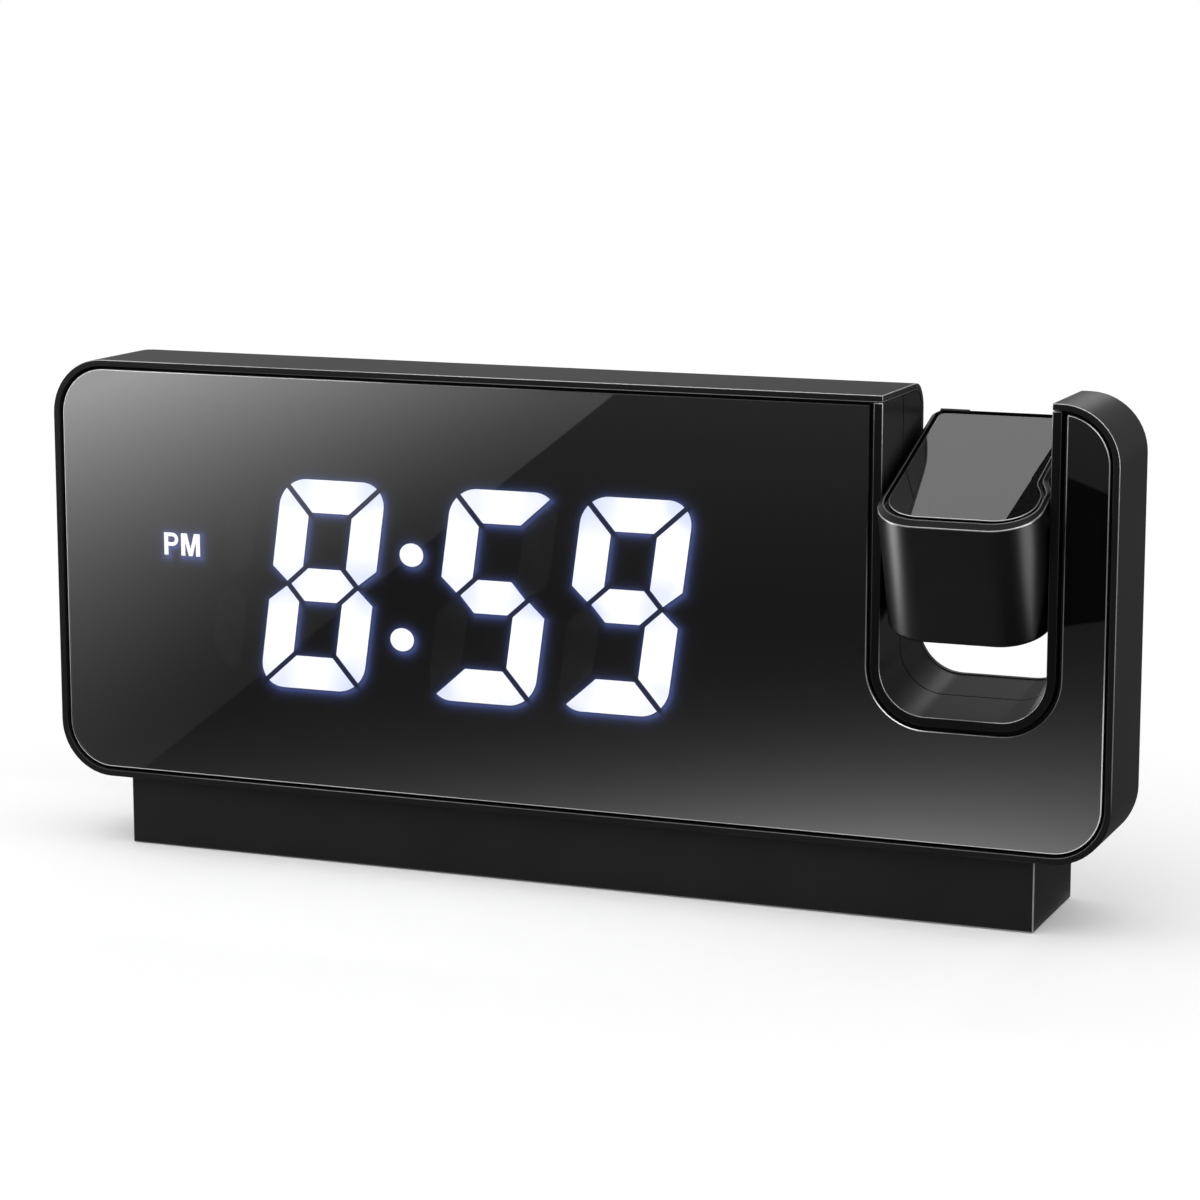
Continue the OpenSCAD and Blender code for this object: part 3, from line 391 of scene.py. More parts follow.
def joined(*parts):
    # Several (points, faces) as one
    faces, start = [], 0
    for points, polygons in parts:
        faces += [[corner + start for corner in polygon] for polygon in polygons]
        start += len(points.reshape(-1, 3))
    return np.concatenate([points.reshape(-1, 3) for points, _ in parts]), faces


def loft(rings, closeRings=False, capFirst=False, capLast=False):
    # A skin over closed rings of equally many points, rings[ring, point, xyz]
    count, size = rings.shape[:2]
    faces = gridFaces(count, size, closeRings, True)
    if capFirst:
        faces.append(list(range(size)))
    if capLast:
        faces.append(list(range((count - 1) * size, count * size)))
    return rings, faces


def divided(rows, closed=True, step=5.0):
    # Long straight runs of an outline, or of a rail's centres, divided evenly
    runs = np.roll(rows, -1, 0) - rows
    count = np.maximum(np.ceil(np.hypot(runs[:, 0], runs[:, 1]) / step), 1).astype(int)
    if not closed:
        count[-1] = 1
    first = np.cumsum(count) - count
    share = (np.arange(count.sum()) - np.repeat(first, count)) / np.repeat(count, count)
    return np.repeat(rows, count, 0) + np.repeat(runs, count, 0) * share[:, None]


def arcRail(centre, start, end, count=15):
    # Part of a rail: the centre of a corner, repeated, and unit normals from start to end degrees
    angle = np.radians(np.linspace(start, end, count))
    return np.tile(np.array(centre, float), (count, 1)), np.stack([np.cos(angle), np.sin(angle)], 1)


def railOf(*parts, step=5.0):
    # Parts of a rail one after the other, their straight runs divided
    rows = divided(np.concatenate([np.concatenate(part, 1) for part in parts]), False, step)
    return rows[:, :2], rows[:, 2:]


def alongRail(rail, out, depth):
    # Points out from the rail's centres along its normals, at a depth behind the front plane
    centres, normals = rail
    place = centres + normals * np.reshape(out, (-1, 1))
    return np.stack([place[:, 0], np.full(len(place), frontY) + depth, place[:, 1]], 1)


def sweep(rail, profile, shift=None):
    # A closed section carried along a rail: point (i, j) = centre i + normal i * out j, at depth j
    rings = np.stack([alongRail(rail, out, depth) for out, depth in profile], 1)
    if shift is not None:
        rings[..., 2] = shift(rings)
    rows, columns = rings.shape[:2]
    faces = gridFaces(rows, columns, False, True)
    faces += [list(range(columns)), list(range((rows - 1) * columns, rows * columns))]
    return rings, faces


def arcProfile(centre, radius, start, end, count=8):
    # Points at centre + radius * (cos a, sin a), with a from start to end degrees
    angle = np.radians(np.linspace(start, end, count))
    return np.stack([centre[0] + radius * np.cos(angle), centre[1] + radius * np.sin(angle)], 1)


def plate(loops, near, far):
    # A plate between two depths, with holes; loops are X-Z outlines, the outer one first
    flat = [[Vector((x, z, 0)) for x, z in loop] for loop in loops]
    points = np.concatenate([np.asarray(loop, float) for loop in loops])
    count = len(points)
    front = np.stack([points[:, 0], np.full(count, frontY + near), points[:, 1]], 1)
    back = np.stack([points[:, 0], np.full(count, frontY + far), points[:, 1]], 1)
    caps = [list(range(count))] if len(loops) == 1 else [list(face) for face in tessellate_polygon(flat)]
    faces = caps + [[corner + count for corner in face[::-1]] for face in caps]
    start = 0
    for loop in loops:
        index = np.arange(len(loop))
        following = np.roll(index, -1)
        faces += (np.stack([index, following, following + count, index + count], 1) + start).tolist()
        start += len(loop)
    return np.concatenate([front, back]), faces


def oblongLoop(x, z, width, height, count=12):
    # A slot with round ends, long along X
    reach = (width - height) / 2
    right = arcProfile((x + reach, z), height / 2, -90, 90, count)
    left = arcProfile((x - reach, z), height / 2, 90, 270, count)
    return np.concatenate([right, left])


def roundLoop(x, z, width, height, radius, count=8):
    # A rectangle with round corners
    reach = np.array([width / 2 - radius, height / 2 - radius])
    turns = [((1, 1), 0), ((-1, 1), 90), ((-1, -1), 180), ((1, -1), 270)]
    corners = [arcProfile(np.array([x, z]) + reach * side, radius, a, a + 90, count) for side, a in turns]
    return np.concatenate(corners)


def circleLoop(x, z, radius, count=24):
    # A closed circle whose last point stops one step short of the first
    return arcProfile((x, z), radius, 0, 360 - 360 / count, count)


def rectangleLoop(low, high):
    return np.array([(low[0], low[2]), (high[0], low[2]), (high[0], high[2]), (low[0], high[2])])


def distanceTo(points, outline):
    # Distance of each point from a closed outline's edges
    start = outline[None]
    run = np.roll(outline, -1, 0)[None] - start
    offset = points[:, None] - start
    share = np.clip((offset * run).sum(2) / np.maximum((run**2).sum(2), 1e-9), 0, 1)
    return np.sqrt(((offset - share[..., None] * run) ** 2).sum(2)).min(1)


def nearby(places, spots):
    # A weight at each place from spots (x, z, weight): w = sum(w / d^4) / sum(1 / d^4)
    spots = np.array(spots, float)
    pull = 1 / (((places[:, None, [0, 2]] - spots[:, :2]) ** 2).sum(2) + 4) ** 2
    return pull @ spots[:, 2] / pull.sum(1)


def readAll(items, field, width=1, kind=float):
    # One property of every vertex, face or corner of a mesh
    values = np.zeros(len(items) * width, kind)
    items.foreach_get(field, values)
    return values.reshape(-1, width) if width > 1 else values


rounding = {
    "angle": math.radians(40),
    "segments": 3,
    # The least weight of a painted edge highlight; on the glass it paints the edges and walls near black, painted
    # shade
    "ink": 0.01,
}


def markEdges(mesh, polish, shine, sides):
    # Corner attribute "edge", the weight of the painted edge highlights: on rounded edges as far as the given
    # depth goes, their shine, at least the least shine.
    # Faces that the rounding made have material index 1 until this is done.
    made = readAll(mesh.polygons, "material_index", kind=int)
    depth = readAll(mesh.polygons, "center", 3)[:, 1] * 1000 - frontY
    totals = readAll(mesh.polygons, "loop_total", kind=int)
    weight = np.repeat(made * (depth < polish), totals).astype(float)
    if shine:
        places = readAll(mesh.vertices, "co", 3) * 1000
        corners = readAll(mesh.loops, "vertex_index", kind=int)
        weight *= np.maximum(shine(places)[corners], rounding["ink"])
    if sides:
        upright = np.abs(readAll(mesh.polygons, "normal", 3)[:, 1]) < 0.5
        weight = np.maximum(weight, np.repeat(upright, totals) * rounding["ink"])
    mesh.attributes.new("edge", "FLOAT", "CORNER").data.foreach_set("value", weight.astype(np.float32))
    mesh.polygons.foreach_set("material_index", made * 0)


def makePiece(name, shape, body, slot, stands=(), bevel=0.0, polish=99.0, rounded=99.0, shine=None,
              sides=False, material=None):
    # Mesh, edge rounding, finish and place in the frame for one piece.
    # Edges are rounded, and get painted highlights, as far as these depths behind the front plane.
    # shine gives the painted highlight's weight at each place, 1 if it is left out. sides gives the walls between
    # the edges the least weight, which on the glass paints them near black, painted shade.
    points, faces = shape
    mesh = bpy.data.meshes.new(name)
    mesh.from_pydata((points.reshape(-1, 3) * 0.001).tolist(), [], faces)
    bm = bmesh.new()
    bm.from_mesh(mesh)
    bmesh.ops.remove_doubles(bm, verts=bm.verts, dist=2e-6)
    bmesh.ops.recalc_face_normals(bm, faces=bm.faces)
    if bevel:
        limit = (frontY + rounded) * 0.001
        sharp = [edge for edge in bm.edges if edge.is_manifold and edge.calc_face_angle() > rounding["angle"]
                 and max(corner.co.y for corner in edge.verts) < limit]
        bmesh.ops.bevel(bm, geom=sharp, offset=bevel * 0.001, segments=rounding["segments"], profile=0.5,
                        affect="EDGES", clamp_overlap=False, material=1)
    bm.to_mesh(mesh)
    bm.free()
    piece = newObject(name, mesh)
    mesh.shade_smooth()
    mesh.set_sharp_from_angle(angle=rounding["angle"])
    markEdges(mesh, polish, shine, sides)
    if bevel:
        piece.modifiers.new("normals", "WEIGHTED_NORMAL").keep_sharp = False
    mesh.materials.append(material or finish[slot])
    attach(piece, body)
    if stands:
        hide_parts(*stands)
    return piece


case = {
    "cornerRadius": 9.5,
    "backRadius": 4.5,
    "skin": 1.1,
    "edge": 0.13,
    "backClear": 3.0,
}
notch = {
    "width": 27.0,
    "radius": 7.5,
    "floor": 34.0,
    "rise": 3.0,
    "trim": 1.5,
    "trimGap": 0.8,
    "seam": 0.2,
    "lidGap": 0.12,
    "backGap": 0.02,
    "edge": 0.13,
    "rearEdge": 0.05,
}
notchX = pivot[0]
halfNotch = notch["width"] / 2
cornerX = caseHigh[0] - case["cornerRadius"]
topCentre = caseHigh[2] - case["cornerRadius"]
bottomCentre = caseLow[2] + case["cornerRadius"]
floorSlope = notch["rise"] / caseDepth


def caseRail(leftEnd, rightEnd, reach, count=15):
    # From the notch's left edge round the case, anticlockwise, to the notch's right edge
    last = 90 if rightEnd < cornerX else math.degrees(math.acos((rightEnd - cornerX) / reach))
    parts = [
        arcRail((leftEnd, topCentre), 90, 90, 1),
        arcRail((-cornerX, topCentre), 90, 180, count),
        arcRail((-cornerX, bottomCentre), 180, 270, count),
        arcRail((cornerX, bottomCentre), 270, 360, count),
        arcRail((cornerX, topCentre), 0, last, count),
    ]
    if last == 90:
        parts.append(arcRail((rightEnd, topCentre), 90, 90, 1))
    return railOf(*parts)


def notchRail(top, depth=0.0, step=5.0):
    # Down the notch's left wall, round its floor, and up its right wall
    floorCentre = notch["floor"] + notch["radius"] + floorSlope * depth
    side = halfNotch - notch["radius"]
    return railOf(
        arcRail((notchX - side, top), 180, 180, 1),
        arcRail((notchX - side, floorCentre), 180, 270),
        arcRail((notchX + side, floorCentre), 270, 360),
        arcRail((notchX + side, top), 0, 0, 1),
        step=step,
    )


def flat(rail, out):
    # X-Z points of a rail, moved out
    return rail[0] + rail[1] * out


def caseLoop(inset, grow, depth=0.0):
    # Closed outline of the case seen from the front, moved in, with the notch widened by grow
    reach = case["cornerRadius"] - inset
    around = flat(caseRail(notchX - halfNotch - grow, notchX + halfNotch + grow, reach), reach)
    cut = flat(notchRail(topCentre, depth=depth), notch["radius"] + grow)
    return np.concatenate([around, cut[1:-1][::-1]])


def skinProfile():
    # Section of the outer skin: a thin lip, flat side and rounded back edge, out from the corner centres
    reach, skin, back = case["cornerRadius"], case["skin"], case["backRadius"]
    centre = (reach - back, caseDepth - back)
    outside = arcProfile(centre, back, 0, 90)
    inside = arcProfile(centre, back - skin, 90, 0)
    return np.concatenate([[(reach - skin, 0), (reach, 0)], outside, inside])


# Painted highlights: how bright the rounded edges are painted at places (x, z) along them, with a weight from 0 to
# 1
paintedShines = {
    "lipOuter": [
        (-90, 78, 0), (-80, 84.5, 0.8), (0, 84.5, 0.8), (50, 84.5, 0.8), (74, 84.5, 0.8), (85, 84, 0.8),
        (92, 78, 1), (93, 54, 1), (93, 30, 0.8), (90, 16, 0), (59, 12, 0), (8, 12, 0), (-47, 12, 0),
        (-90, 14, 0), (-93, 43, 0),
    ],
    "lipInner": [
        (-90, 78, 0), (-46, 83, 0.2), (-18, 83, 0.8), (8, 83, 1), (33, 83, 1), (50, 83, 0.6), (74, 83, 0),
        (86, 83, 0), (92, 78, 0), (92, 54, 0), (92, 30, 0), (89, 16, 0.12), (59, 13, 0.15), (8, 13, 0.13),
        (-47, 13, 0.25), (-90, 14, 0), (-92, 43, 0),
    ],
    "trimOuter": [
        (53, 79, 0.3), (53, 68, 0.12), (53, 52, 0.1), (53, 39, 0.02), (58, 33, 0), (68, 31, 0), (80, 35, 0),
        (84, 52, 0), (84, 68, 0), (84, 82, 0),
    ],
    "trimInner": [
        (55, 82, 1), (55, 74, 0.8), (55, 68, 0), (55, 52, 0), (55, 40, 0.7), (58, 35, 0.5), (68, 34, 0.2),
        (79, 36, 0.7), (82, 46, 0.1), (82, 68, 0), (82, 74, 0.3), (82, 82, 0.8),
    ],
    "glass": [
        (-87, 81, 0.8), (-46, 83, 0.5), (-18, 83, 0.12), (8, 83, 0.02), (33, 83, 0), (50, 83, 0),
        (53, 79, 0), (53, 68, 0), (53, 52, 0.14), (53, 40, 0.2), (57, 33, 1), (67, 31, 0.12), (80, 34, 0.03),
        (84, 51, 0.15), (84, 66, 0.06), (84, 74, 0.4), (84, 81, 0.9), (86, 83, 0.12), (90, 80, 0.7),
        (91, 74, 0.25), (92, 54, 0.2), (92, 30, 1), (90, 16, 1), (59, 14, 0.75), (8, 14, 0.6),
        (-47, 14, 0.8), (-90, 14, 1), (-92, 21, 0.35), (-91, 43, 0.8), (-90, 69, 1),
    ],
    "base": [
        (80.5, 1, 0.6), (80.5, 6, 1), (80.5, 10, 0.7), (76, 1, 0), (76, 11, 0), (0, 5, 0), (-76, 1, 0),
        (-76, 11, 0), (-80.5, 5, 0.2),
    ],
    "head": [
        (55.5, 72, 0.2), (56, 67, 0.8), (61, 65.5, 0.6), (68, 65.5, 0.4), (76, 65.5, 0.6), (80.5, 67, 1),
        (82, 71, 0.6), (82, 74, 0.1), (68, 79, 0), (68, 60, 0), (55.5, 50, 0), (68, 50, 0), (82, 50, 0),
    ],
}


# Painted highlight weights at each place, from one table
def shineAt(spots):
    return lambda places: nearby(places, paintedShines[spots])


def shineOf(reach, outer, inner):
    # Painted highlight weights of an edge pair on either side of a rim, split by the distance from the case's
    # outline
    def shine(places):
        outside = distanceTo(places[:, [0, 2]], caseLoop(0, 0)) < reach
        return np.where(outside, nearby(places, paintedShines[outer]), nearby(places, paintedShines[inner]))
    return shine


def skinShape():
    # Skin swept round the case, its ends closed at the notch
    return sweep(caseRail(notchX - halfNotch, notchX + halfNotch, case["cornerRadius"]), skinProfile())


back = {
    "buttonWidth": 9.0,
    "buttonHeight": 4.5,
    "buttonGap": 0.2,
    "speakerPitch": 2.6,
    "speakerHole": 0.8,
    "screwHole": 2.05,
    "screwHead": 2.4,
    "screwBeside": 4.0,
    "usbGap": 0.25,
    "outletRound": 0.4,
    "doorGap": 0.12,
    "doorRadius": 3.0,
    "under": 0.1,
}
keys = ["mode", "set", "alarm", "plus", "minus"]


def backHoles():
    # Every opening in the back wall: buttons, sounder, sockets, battery door and screws
    holes = []
    gap = 2 * back["buttonGap"]
    for key in keys:
        place, _ = middle(key + "_plunger")
        holes.append(oblongLoop(place[0], place[2], back["buttonWidth"] + gap, back["buttonHeight"] + gap))
    place, _ = middle("buzzer")
    holes.append(circleLoop(place[0], place[2], back["speakerHole"]))
    for ring in (1, 2):
        reach = ring * back["speakerPitch"]
        for turn in np.radians(np.arange(6 * ring) * 60 / ring):
            x, z = place[0] + reach * math.cos(turn), place[2] + reach * math.sin(turn)
            holes.append(circleLoop(x, z, back["speakerHole"], 16))
    gap = 2 * back["usbGap"]
    place, size = middle("usb_inlet")
    holes.append(oblongLoop(place[0], place[2], size[0] + gap, size[2] + gap))
    place, size = middle("usb_outlet")
    holes.append(roundLoop(place[0], place[2], size[0] + gap, size[2] + gap, back["outletRound"], 4))
    gap = 2 * back["doorGap"]
    place, size = middle("battery_door")
    holes.append(roundLoop(place[0], place[2], size[0] + gap, size[2] + gap, back["doorRadius"]))
    low, high = boxOf("case_screws")
    inset = back["screwHead"]
    besideNotch = notchX - halfNotch - notch["trim"] - back["screwBeside"]
    for x in (low[0] + inset, besideNotch, high[0] - inset):
        for z in (low[2] + inset, high[2] - inset):
            holes.append(circleLoop(x, z, back["screwHole"]))
    return holes


def backShape():
    # Back wall with its holes, its edge inside the skin's rounded edge
    outline = caseLoop(case["backRadius"] - back["under"], 0, caseDepth)
    return plate([outline, *backHoles()], caseDepth - case["skin"], caseDepth)


def liningShape(near, far, top, cornerRadius=0.0):
    # The notch's lining between two depths. Its floor rises to the back. Its upper ends stop at top, and
    # fall along a quarter circle over the last cornerRadius: z = top - r + sqrt(r^2 - beyond^2)
    radius, thick = notch["radius"], notch["trim"]
    if cornerRadius:
        rail = notchRail(caseHigh[2], step=99.0)
        turn = np.linspace(0, math.pi / 2, 8)
        depths = np.unique([near, far, *(far - cornerRadius * (1 - np.sin(turn)))])
    else:
        rail = notchRail(caseHigh[2])
        depths = np.array([near, far])
    profile = [(radius, depth) for depth in depths] + [(radius + thick, depth) for depth in depths[::-1]]

    def raised(rings):
        depth = rings[..., 1] - frontY
        height = rings[..., 2] + floorSlope * depth
        beyond = np.clip(depth - (far - cornerRadius), 0, cornerRadius)
        lid = top - cornerRadius + np.sqrt(np.clip(cornerRadius**2 - beyond**2, 0, None))
        height[[0, -1]] = lid[[0, -1]]
        return height

    return sweep(rail, profile, raised)


deepest = caseDepth - case["backClear"]
makePiece("case_housing", skinShape(), "case", "case_plastic", ["rear_housing"], case["edge"], deepest,
          deepest, shine=shineOf(0.5, "lipOuter", "lipInner"))
makePiece("case_back", backShape(), "case", "case_plastic", material=backMaterial)

lidZ = caseHigh[2] - case["skin"] - notch["lidGap"]
frontEnd = (caseDepth - notch["seam"]) / 2
rearStart = (caseDepth + notch["seam"]) / 2
rearEnd = caseDepth - case["skin"] - notch["backGap"]
makePiece("notch_trim", liningShape(0, frontEnd, lidZ), "case", "trim_plastic", ["front_frame"],
          notch["edge"], notch["edge"], shine=shineOf(0.7, "trimInner", "trimOuter"))
rearLining = liningShape(rearStart, rearEnd, lidZ, case["backRadius"] - case["skin"])
makePiece("notch_rear", rearLining, "case", "trim_plastic", (), notch["rearEdge"], 0)

socket = {
    "wall": 0.3,
    "foot": 1.0,
    "gap": 0.02,
    "liner": 0.25,
    "floor": 0.1,
    "sunk": 0.4,
    "tongueRound": 0.15,
    "outletRound": 0.2,
    "outletTongue": (11.1, 1.9, 5.1),
    "outletRise": 1.11,
    "inletTongue": (6.7, 0.8, 4.8),
}


def outletLoop(x, z, width, height):
    return roundLoop(x, z, width, height, socket["outletRound"], 3)


def makeSocketInside(name, node, outline, tongue, rise=0.0):
    # Black lining, floor and tongue inside a socket's steel shell
    place, size = middle(node)
    x, z = place[0], place[2]
    near = place[1] - size[1] / 2 - frontY + socket["foot"] + socket["gap"]
    far = place[1] + size[1] / 2 - frontY - socket["sunk"]
    wide, high = size[[0, 2]] - 2 * socket["wall"]
    inside = outline(x, z, wide - socket["liner"], high - socket["liner"])
    shape = joined(
        plate([outline(x, z, wide, high), inside], near, far),
        plate([outline(x, z, wide, high)], near, near + socket["floor"]),
        plate([roundLoop(x, z + rise, *tongue[:2], socket["tongueRound"], 3)], near, near + tongue[2]),
    )
    makePiece(name, shape, "case", "chip_black")


makeSocketInside("outlet_inside", "usb_outlet", outletLoop, socket["outletTongue"], socket["outletRise"])
makeSocketInside("inlet_inside", "usb_inlet", oblongLoop, socket["inletTongue"])

glass = {
    "inset": 1.65,
    "edge": 0.16,
    "plateInset": 1.25,
    "plateGap": 0.1,
    "plateThick": 1.6,
    "bond": 0.05,
}
glassLow, glassHigh = boxOf("mirror_panel")
displayLow, displayHigh = boxOf("display_block")
plateNear = glassHigh[1] - frontY
displayHole = rectangleLoop(displayLow, displayHigh)
plateShape = plate([caseLoop(glass["plateInset"], notch["trim"] + glass["plateGap"]), displayHole],
                   plateNear - glass["bond"], plateNear + glass["plateThick"])
makePiece("front_plate", plateShape, "case", "display_black")
print("case built")

glassOutline = caseLoop(glass["inset"], notch["trim"] + notch["trimGap"])
glassShape = plate([glassOutline], glassLow[1] - frontY, plateNear)
makePiece("front_glass", glassShape, "case", "mirror_glass", ["mirror_panel"], glass["edge"],
          shine=shineAt("glass"), sides=True)
print("glass built")


digit = {
    "height": 35.8,
    "width": 19.2,
    "bar": 5.6,
    "gap": 0.9,
    "radius": 4.5,
    "lean": 7.8,
    "waistIn": 3.0,
    "waistRise": 2.95,
    "pairPitch": 23.3,
    "colonPitch": 31.1,
    "dotRadius": 2.15,
    "dotRise": 7.2,
    "dotFlat": 0.91,
    "dotSkew": 0.92,
    "dotDrop": 1.0,
    "deep": 2.3,
    "print": 0.3,
}
dotsLow, dotsHigh = boxOf("colon_dots")
digitZ = (dotsLow[2] + dotsHigh[2]) / 2 + digit["dotDrop"]
colonX = (dotsLow[0] + dotsHigh[0]) / 2
digitXs = colonX + np.array([-1, 1]) * digit["colonPitch"] / 2
digitXs = [digitXs[0] - digit["pairPitch"], *digitXs, digitXs[1] + digit["pairPitch"]]
halfWidth, halfHeight = digit["width"] / 2, digit["height"] / 2
lean = math.tan(math.radians(digit["lean"]))
litBars = ["", "abcdefg", "acdfg", "abcdfg"]
unlitBars = ["bc", "", "be", "e"]


def barOutline(letter):
    # Corner points of one bar of a digit, by its usual letter, with the outer corner as an arc
    bar, gap, radius = digit["bar"], digit["gap"], digit["radius"]
    corner = (halfWidth - radius, halfHeight - radius)
    miter = gap / math.sqrt(2)
    turn = math.degrees(math.asin(gap / (2 * radius)))
    if letter in "ad":
        right = np.concatenate([
            [(halfWidth - bar - miter, halfHeight - bar)],
            arcProfile(corner, radius, 45 + turn, 90, 6),
        ])
        shape = np.concatenate([right, right[::-1] * (-1, 1)])
        return shape if letter == "a" else shape * (1, -1)
    if letter in "bcef":
        waist = digit["waistIn"]
        shape = np.concatenate([
            [(halfWidth - bar, halfHeight - bar - miter)],
            arcProfile(corner, radius, 45 - turn, 0, 6),
            [(halfWidth, digit["waistRise"]), (halfWidth - waist, gap / 2),
             (halfWidth - bar, gap / 2 + bar - waist)],
        ])
        return shape * (-1 if letter in "ef" else 1, -1 if letter in "ce" else 1)
    tip = halfWidth - digit["waistIn"] + gap / 2 - gap * math.sqrt(2)
    half = bar / 2
    upper = np.array([(tip, 0), (tip - half, half), (half - tip, half)])
    return np.concatenate([upper, -upper])


def placed(outline, number):
    # A bar of one digit, sheared by x + lean * z and moved to the digit's place
    leaning = outline + outline[:, 1:] * (lean, 0)
    return leaning + (digitXs[number], digitZ)


def litOutlines():
    # Every lit outline with its UV: u runs from -1 to 1 along the bar
    made = []
    for number, bars in enumerate(litBars):
        for letter in bars:
            outline = barOutline(letter)
            axis = 1 if letter in "bcef" else 0
            low, high = outline[:, axis].min(), outline[:, axis].max()
            along = (2 * outline[:, axis] - low - high) / (high - low)
            made.append((placed(outline, number), along))
    for side in (-1, 1):
        spot = (colonX + side * digit["dotSkew"], digitZ + side * digit["dotRise"] - digit["dotDrop"])
        dot = circleLoop(0, 0, digit["dotRadius"], 48) * (1, digit["dotFlat"]) + spot
        made.append((dot, np.zeros(len(dot))))
    return made


lettering = {
    "low": 51.5,
    "height": 3.85,
    "left": -72.6,
    "stroke": 0.78,
    "thin": 0.6396,
    "bowl": 1.15,
    "widthP": 2.7,
    "widthM": 3.6,
    "space": 0.55,
    "shoulder": 1.12,
    "legTop": 1.45,
    "veeHalf": 0.36,
    "veeRise": 1.25,
}


def letterOutlines():
    # The generic letters PM as strokes: plain polygons, and a half ring for the bowl
    x, z, stroke, thin = (lettering[part] for part in ("left", "low", "stroke", "thin"))
    top, bowl = z + lettering["height"], lettering["bowl"]
    stem = np.array([(x, z), (x + stroke, z), (x + stroke, top), (x, top)])
    centre, near = (x + lettering["widthP"] - bowl, top - bowl), x + stroke
    outside = arcProfile(centre, bowl, 90, -90, 14)
    inside = arcProfile(centre, bowl - thin, -90, 90, 14)
    under = [(near, top - 2 * bowl), (near, top - 2 * bowl + thin)]
    bowlLoop = np.concatenate([[(near, top)], outside, under, inside, [(near, top - thin)]])
    half = lettering["widthM"] / 2
    middleX = x + lettering["widthP"] + lettering["space"] + half
    right = np.array([
        (lettering["veeHalf"], z), (half - stroke, top - lettering["legTop"]), (half - stroke, z), (half, z),
        (half, top), (half - lettering["shoulder"], top),
    ])
    left = right[::-1] * (-1, 1)
    em = np.concatenate([right, [(0, z + lettering["veeRise"])], left]) + (middleX, 0)
    return [stem, bowlLoop, em]


def litShape(outlines, near, far):
    # Flat prisms over outlines
    return joined(*[plate([outline], near, far) for outline in outlines])


def makeLit(name, outlines, node, deep):
    # A lit piece whose UV u is that of the nearest outline point
    loops = [outline for outline, _ in outlines]
    piece = makePiece(name, litShape(loops, displayNear, displayNear + deep), "case", "lit_diffuser", [node])
    along = np.concatenate([value for _, value in outlines])
    mesh = piece.data
    places = readAll(mesh.vertices, "co", 3) * 1000
    nearest = ((places[:, None, [0, 2]] - np.concatenate(loops)) ** 2).sum(2).argmin(1)
    corners = readAll(mesh.loops, "vertex_index", kind=int)
    uv = np.stack([along[nearest][corners], np.zeros(len(corners))], 1)
    mesh.uv_layers.new(name="UVMap").data.foreach_set("uv", uv.astype(np.float32).ravel())


displayNear = plateNear - 2 * glass["bond"]
lit = litOutlines()
makeLit("lit_bars", lit[:-2], "lit_segments", digit["deep"])
makeLit("lit_dots", lit[-2:], "colon_dots", digit["deep"])
ghosts = [placed(barOutline(letter), number) for number, bars in enumerate(unlitBars) for letter in bars]
ghostShape = litShape(ghosts, plateNear - 1.5 * glass["bond"], plateNear + digit["deep"])
makePiece("unlit_bars", ghostShape, "case", "unlit_diffuser", ["unlit_segments"])
words = [(outline, np.zeros(len(outline))) for outline in letterOutlines()]
makeLit("pm_letters", words, "pm_window", digit["print"])

halo = {
    "step": 0.3,
    "reach": 0.5,
    "shift": (0.32, -0.3),
    "gapDark": (0.5, 1.3),
    "least": 0.3,
    "deep": 4,
}


def haloShape():
    # The foil's face as a fine grid, its rim taken back to form a closed box
    low, high = displayLow[[0, 2]], displayHigh[[0, 2]]
    count = np.ceil((high - low) / halo["step"]).astype(int) + 1
    x, z = np.linspace(low[0], high[0], count[0]), np.linspace(low[1], high[1], count[1])
    gridX, gridZ = np.meshgrid(x, z, indexing="ij")
    front = np.stack([gridX, np.full(gridX.shape, frontY + displayNear + glass["bond"]), gridZ], 2)
    index = np.arange(count[0] * count[1]).reshape(count)
    rim = np.concatenate([index[:-1, 0], index[-1, :-1], index[:0:-1, -1], index[0, :0:-1]])
    behind = front.reshape(-1, 3)[rim] + (0, halo["deep"], 0)
    following = np.roll(np.arange(len(rim)), -1)
    total = count[0] * count[1]
    walls = np.stack([rim, rim[following], following + total, np.arange(len(rim)) + total], 1)
    faces = gridFaces(count[0], count[1]) + walls.tolist() + [list(range(total, total + len(rim)))]
    return np.concatenate([front.reshape(-1, 3), behind]), faces


def makeFoil():
    # Glow = e^(-d / reach) at distance d from the nearest lit outline, less where a second one is close
    foil = makePiece("display_foil", haloShape(), "case", "display_black", ["display_block"],
                     material=haloMaterial)
    spots = readAll(foil.data.vertices, "co", 3)[:, [0, 2]] * 1000
    outlines = [outline for outline, _ in lit + words]
    away = np.min([distanceTo(spots - halo["shift"], outline) for outline in outlines], axis=0)
    bars = len(lit) - 2
    second = np.sort([distanceTo(spots, outline) for outline in outlines[:bars]], axis=0)[1]
    start, end = halo["gapDark"]
    glow = np.exp(-away / halo["reach"]) * np.clip((second - start) / (end - start), halo["least"], 1)
    colours = np.concatenate([glow[:, None] * light["halo"][:3], np.ones((len(glow), 1))], 1)
    layer = foil.data.attributes.new("glow", "FLOAT_COLOR", "POINT")
    layer.data.foreach_set("color", colours.astype(np.float32).ravel())


makeFoil()
print("display built")


base = {
    "low": 0.12,
    "wall": 2.0,
    "hollow": 5.0,
    "edge": 0.2,
    "polish": 2.6,
}
baseLow, baseHigh = boxOf("base_foot")


def levelRing(width, depth, height):
    # A rectangle lying flat
    corners = np.array([(1, 1, 0), (-1, 1, 0), (-1, -1, 0), (1, -1, 0)])
    return corners * (width / 2, depth / 2, 1) + (0, 0, height)


